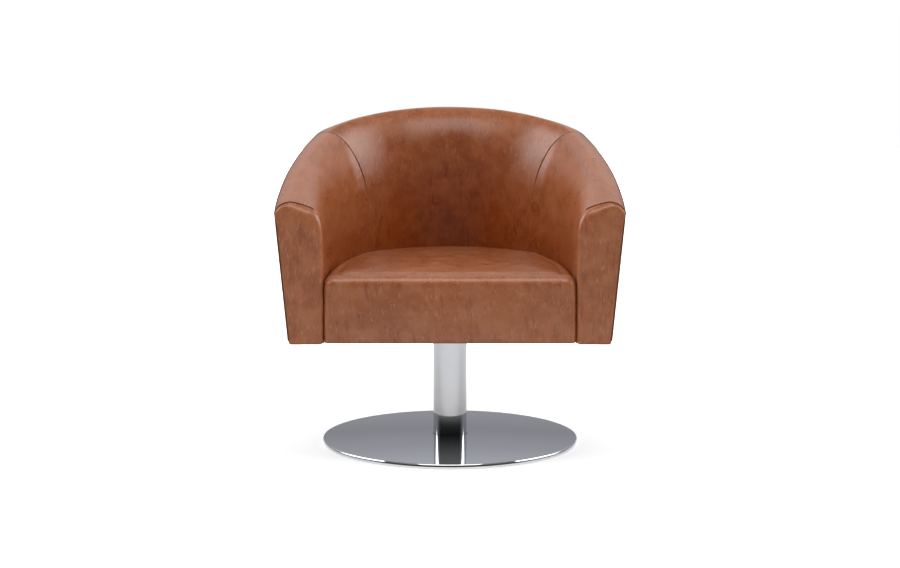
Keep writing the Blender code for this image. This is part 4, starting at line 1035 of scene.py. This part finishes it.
def grained(name, light, dark, scale, rough, depth, stretch=EVEN, metallic=0.0):
    """A plain material with a grain: timber, board, cloth, zinc, rubber or cast iron."""
    material, tree, shader = new_material(name, Metallic=metallic)
    vector = stretched(own_place(tree), stretch)
    grain = clouds(vector, scale, 6.0, 0.6, 0.3)
    spot = clouds(vector, scale * 6, 3.0, 0.6)
    feed(shader["Base Color"], tint(spans(grain, 0.3, 0.7), dark, light))
    feed(shader["Roughness"], plus(times(sums("SUBTRACT", spot, 0.5), 0.2), rough, clamp=True))
    bumped(shader, spot, 0.5, depth)
    return material


# Putting the pieces in place

def finish(piece, material):
    """Gives a piece one material."""
    piece.data.materials.clear()
    piece.data.materials.append(material)


def put(piece, material, body, slot, *replaced):
    """Gives a piece its material, hides the parts that it replaces, and says what it moves with."""
    finish(piece, material)
    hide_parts(*replaced)
    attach(piece, body)


def build_tub(hide):
    """The leather inside and outside the tub, over the arms' fronts, and the piping."""
    for number, (side, start, end) in enumerate(SIDES):
        shift = (1.3 * number, 0.7 * number, 0.0)
        inside = inside_leather(side, start, end)
        outside, (length, width, area) = outside_leather(side, start, end)
        if side == "back":
            place, foam, along, tilt = "back_leather", "back_foam", 1.0, (14.0, 0.0)
        else:
            place, foam, along, tilt = f"arm_leather_{side}", f"arm_foam_{side}", 0.5, (32.0, 0.0)
        skin = leather(f"leather_inside_{side}", hide, shift, along=along, tilt=tilt)
        put(inside, skin, "seat", "leather", f"inside_{place}", foam)
        skin = leather(f"leather_outside_{side}", hide, (shift[0], 4.0 + shift[1], 2.0))
        put(outside, skin, "seat", "leather", f"outside_{place}")
    # The piping takes the dark edge colour: its own dark edge, and also painted shade of the seam line it
    # sits in
    edging = leather("leather_piping", hide, (8.0, 0.0, 0.0), 0.82)
    put(rim_welt(), edging, "seat", "leather_edge", "rim_welt")
    for side, sign in (("right", 1), ("left", -1)):
        face = facing_leather(side, sign)
        skin = leather(f"leather_facing_{side}", hide, (5.0 + sign, 1.0, 3.0))
        put(face, skin, "seat", "leather", f"facing_leather_{side}", f"facing_board_{side}")
        put(facing_welt(side, sign), edging, "seat", "leather_edge", f"facing_welt_{side}")


def build_seat(hide):
    """The tight seat and the lining under the tub."""
    cover = seat_cover()
    skin = leather("leather_seat", hide, (0.4, 7.0, 1.0), tilt=(0.0, 8.0))
    put(cover, skin, "seat", "leather", "seat_leather", "seat_foam")
    lining = dust_cover()
    put(lining, grained("lining_cloth", *LINING_CLOTH), "seat", "lining", "dust_cover")


def build_base():
    """The polished disc and tube."""
    steel = polished("steel_base", (0.615, 0.622, 0.64))
    bright = polished("steel_column", (0.59, 0.597, 0.617))
    put(base_disc(), steel, "base", "polished_steel", "base_cover")
    put(column(), bright, "base", "polished_steel", "column_tube")


def dress_parts():
    """Gives the parts that stay as they are their own materials."""
    finishes = {name: grained(name, *values) for name, values in FINISHES.items()}
    slots = {part["node"]: part["material_slot"] for part in frame["record"]["subparts"]}
    for name, part in frame["nodes"].items():
        if slots.get(name) in finishes:
            finish(part, finishes[slots[name]])


# Studio

def build_floor():
    """A pale floor that keeps the chair's shadow and reads white away from it."""
    size, grey = 60.0, (0.82, 0.82, 0.82)
    corners = [(-size, -size, 0), (size, -size, 0), (size, size, 0), (-size, size, 0)]
    floor = solid_mesh("floor", corners, [(0, 1, 2, 3)])
    material, tree, shader = new_material(
        "studio_floor", Base_Color=grey, Roughness=0.9, Specular_IOR_Level=0.0, Emission_Color=WHITE,
    )
    light = node("ShaderNodeLightPath", tree=tree).outputs
    seen = most(light["Is Camera Ray"], light["Is Transmission Ray"])
    reach = node("ShaderNodeVectorMath", {0: own_place(tree)}, operation="LENGTH").outputs["Value"]
    mirrored = times(spans(reach, 0.325, 0.365, 0.55, 0.0), light["Is Glossy Ray"])
    glow = sums("MULTIPLY_ADD", seen, spans(reach, 0.35, 1.6, 0.42, 1.0), mirrored)
    feed(shader["Emission Strength"], glow)
    finish(floor, material)


def build_world():
    """A pale studio: bright ceiling, strip lights either side, a dark band behind the camera."""
    world = bpy.data.worlds.new("studio")
    bpy.context.scene.world = world
    world.use_nodes = True
    tree = world.node_tree
    tree.nodes.clear()
    x, y, z = node("ShaderNodeSeparateXYZ", {"Vector": own_place(tree, "Generated")}).outputs
    light = node("ShaderNodeLightPath", tree=tree).outputs
    glossy = light["Is Glossy Ray"]

    flat = sums("SQRT", plus(times(x, x), times(y, y)))
    facing = sums("DIVIDE", y, most(flat, 0.001))
    behind = spans(facing, -0.35, 0.35)
    wall = tint(behind, ramp(z, WALL_IN_FRONT), ramp(z, WALL_BEHIND))
    wall = tint(spans(z, 0.6, 0.9), wall, (0.48, 0.48, 0.48))
    low_front = times(spans(z, 0.1, 0.14, 1.0, 0.0), spans(facing, -0.85, -0.65, 1.0, 0.0))
    wall = tint(times(times(glossy, low_front), 0.8), wall, (0.0, 0.0, 0.0))

    middle = sums("MULTIPLY_ADD", ramp(z, SIDE_FACING), 2.0, -1.0)
    from_middle = sums("ABSOLUTE", sums("SUBTRACT", facing, middle))
    side = spans(sums("SUBTRACT", ramp(z, SIDE_HALF_WIDTH), from_middle), 0.0, 0.06, 0.0, 5.0)

    near = times(times(glossy, spans(z, 0.09, 0.12, 1.0, 0.0)), spans(facing, 0.6, 0.8))
    seen = most(most(light["Is Camera Ray"], light["Is Transmission Ray"]), near)
    cool = tint(times(behind, spans(z, 0.3, 0.5, 1.0, 0.0)), WHITE, (0.96, 0.972, 1.055))
    studio = node("ShaderNodeBackground", {"Color": cool, "Strength": most(wall, side)}).outputs[0]
    white = node("ShaderNodeBackground", {"Color": WHITE, "Strength": 1.0}, tree).outputs[0]
    blend = node("ShaderNodeMixShader", {0: seen, 1: studio, 2: white}).outputs[0]
    node("ShaderNodeOutputWorld", {"Surface": blend})


def linked(name, data):
    """A lamp or camera in the scene."""
    thing = bpy.data.objects.new(name, data)
    bpy.context.scene.collection.objects.link(thing)
    return thing


def build_softbox():
    """A large soft light above and in front of the chair."""
    place, target = Vector((0.0, -1.65, 3.2)), Vector((0.0, 0.0, 0.5))
    data = bpy.data.lights.new("softbox", "AREA")
    data.shape = "RECTANGLE"
    data.size, data.size_y, data.energy = 2.6, 1.3, 36.0
    softbox = linked("softbox", data)
    softbox.location = place
    softbox.rotation_euler = (target - place).to_track_quat("-Z", "Y").to_euler()


def build_camera():
    """The camera, fitted to the photograph."""
    below_level = 6.18
    data = bpy.data.cameras.new("camera")
    data.lens, data.sensor_width = 55.76, 36.0
    camera = linked("camera", data)
    camera.location = (0.0, -3.292, 0.732)
    camera.rotation_euler = (math.radians(90 - below_level), 0.0, 0.0)
    bpy.context.scene.camera = camera


def main():
    hide = hide_group()
    build_tub(hide)
    build_seat(hide)
    build_base()
    dress_parts()
    build_floor()
    build_world()
    build_softbox()
    build_camera()
    bpy.context.scene.view_settings.view_transform = "Standard"


main()
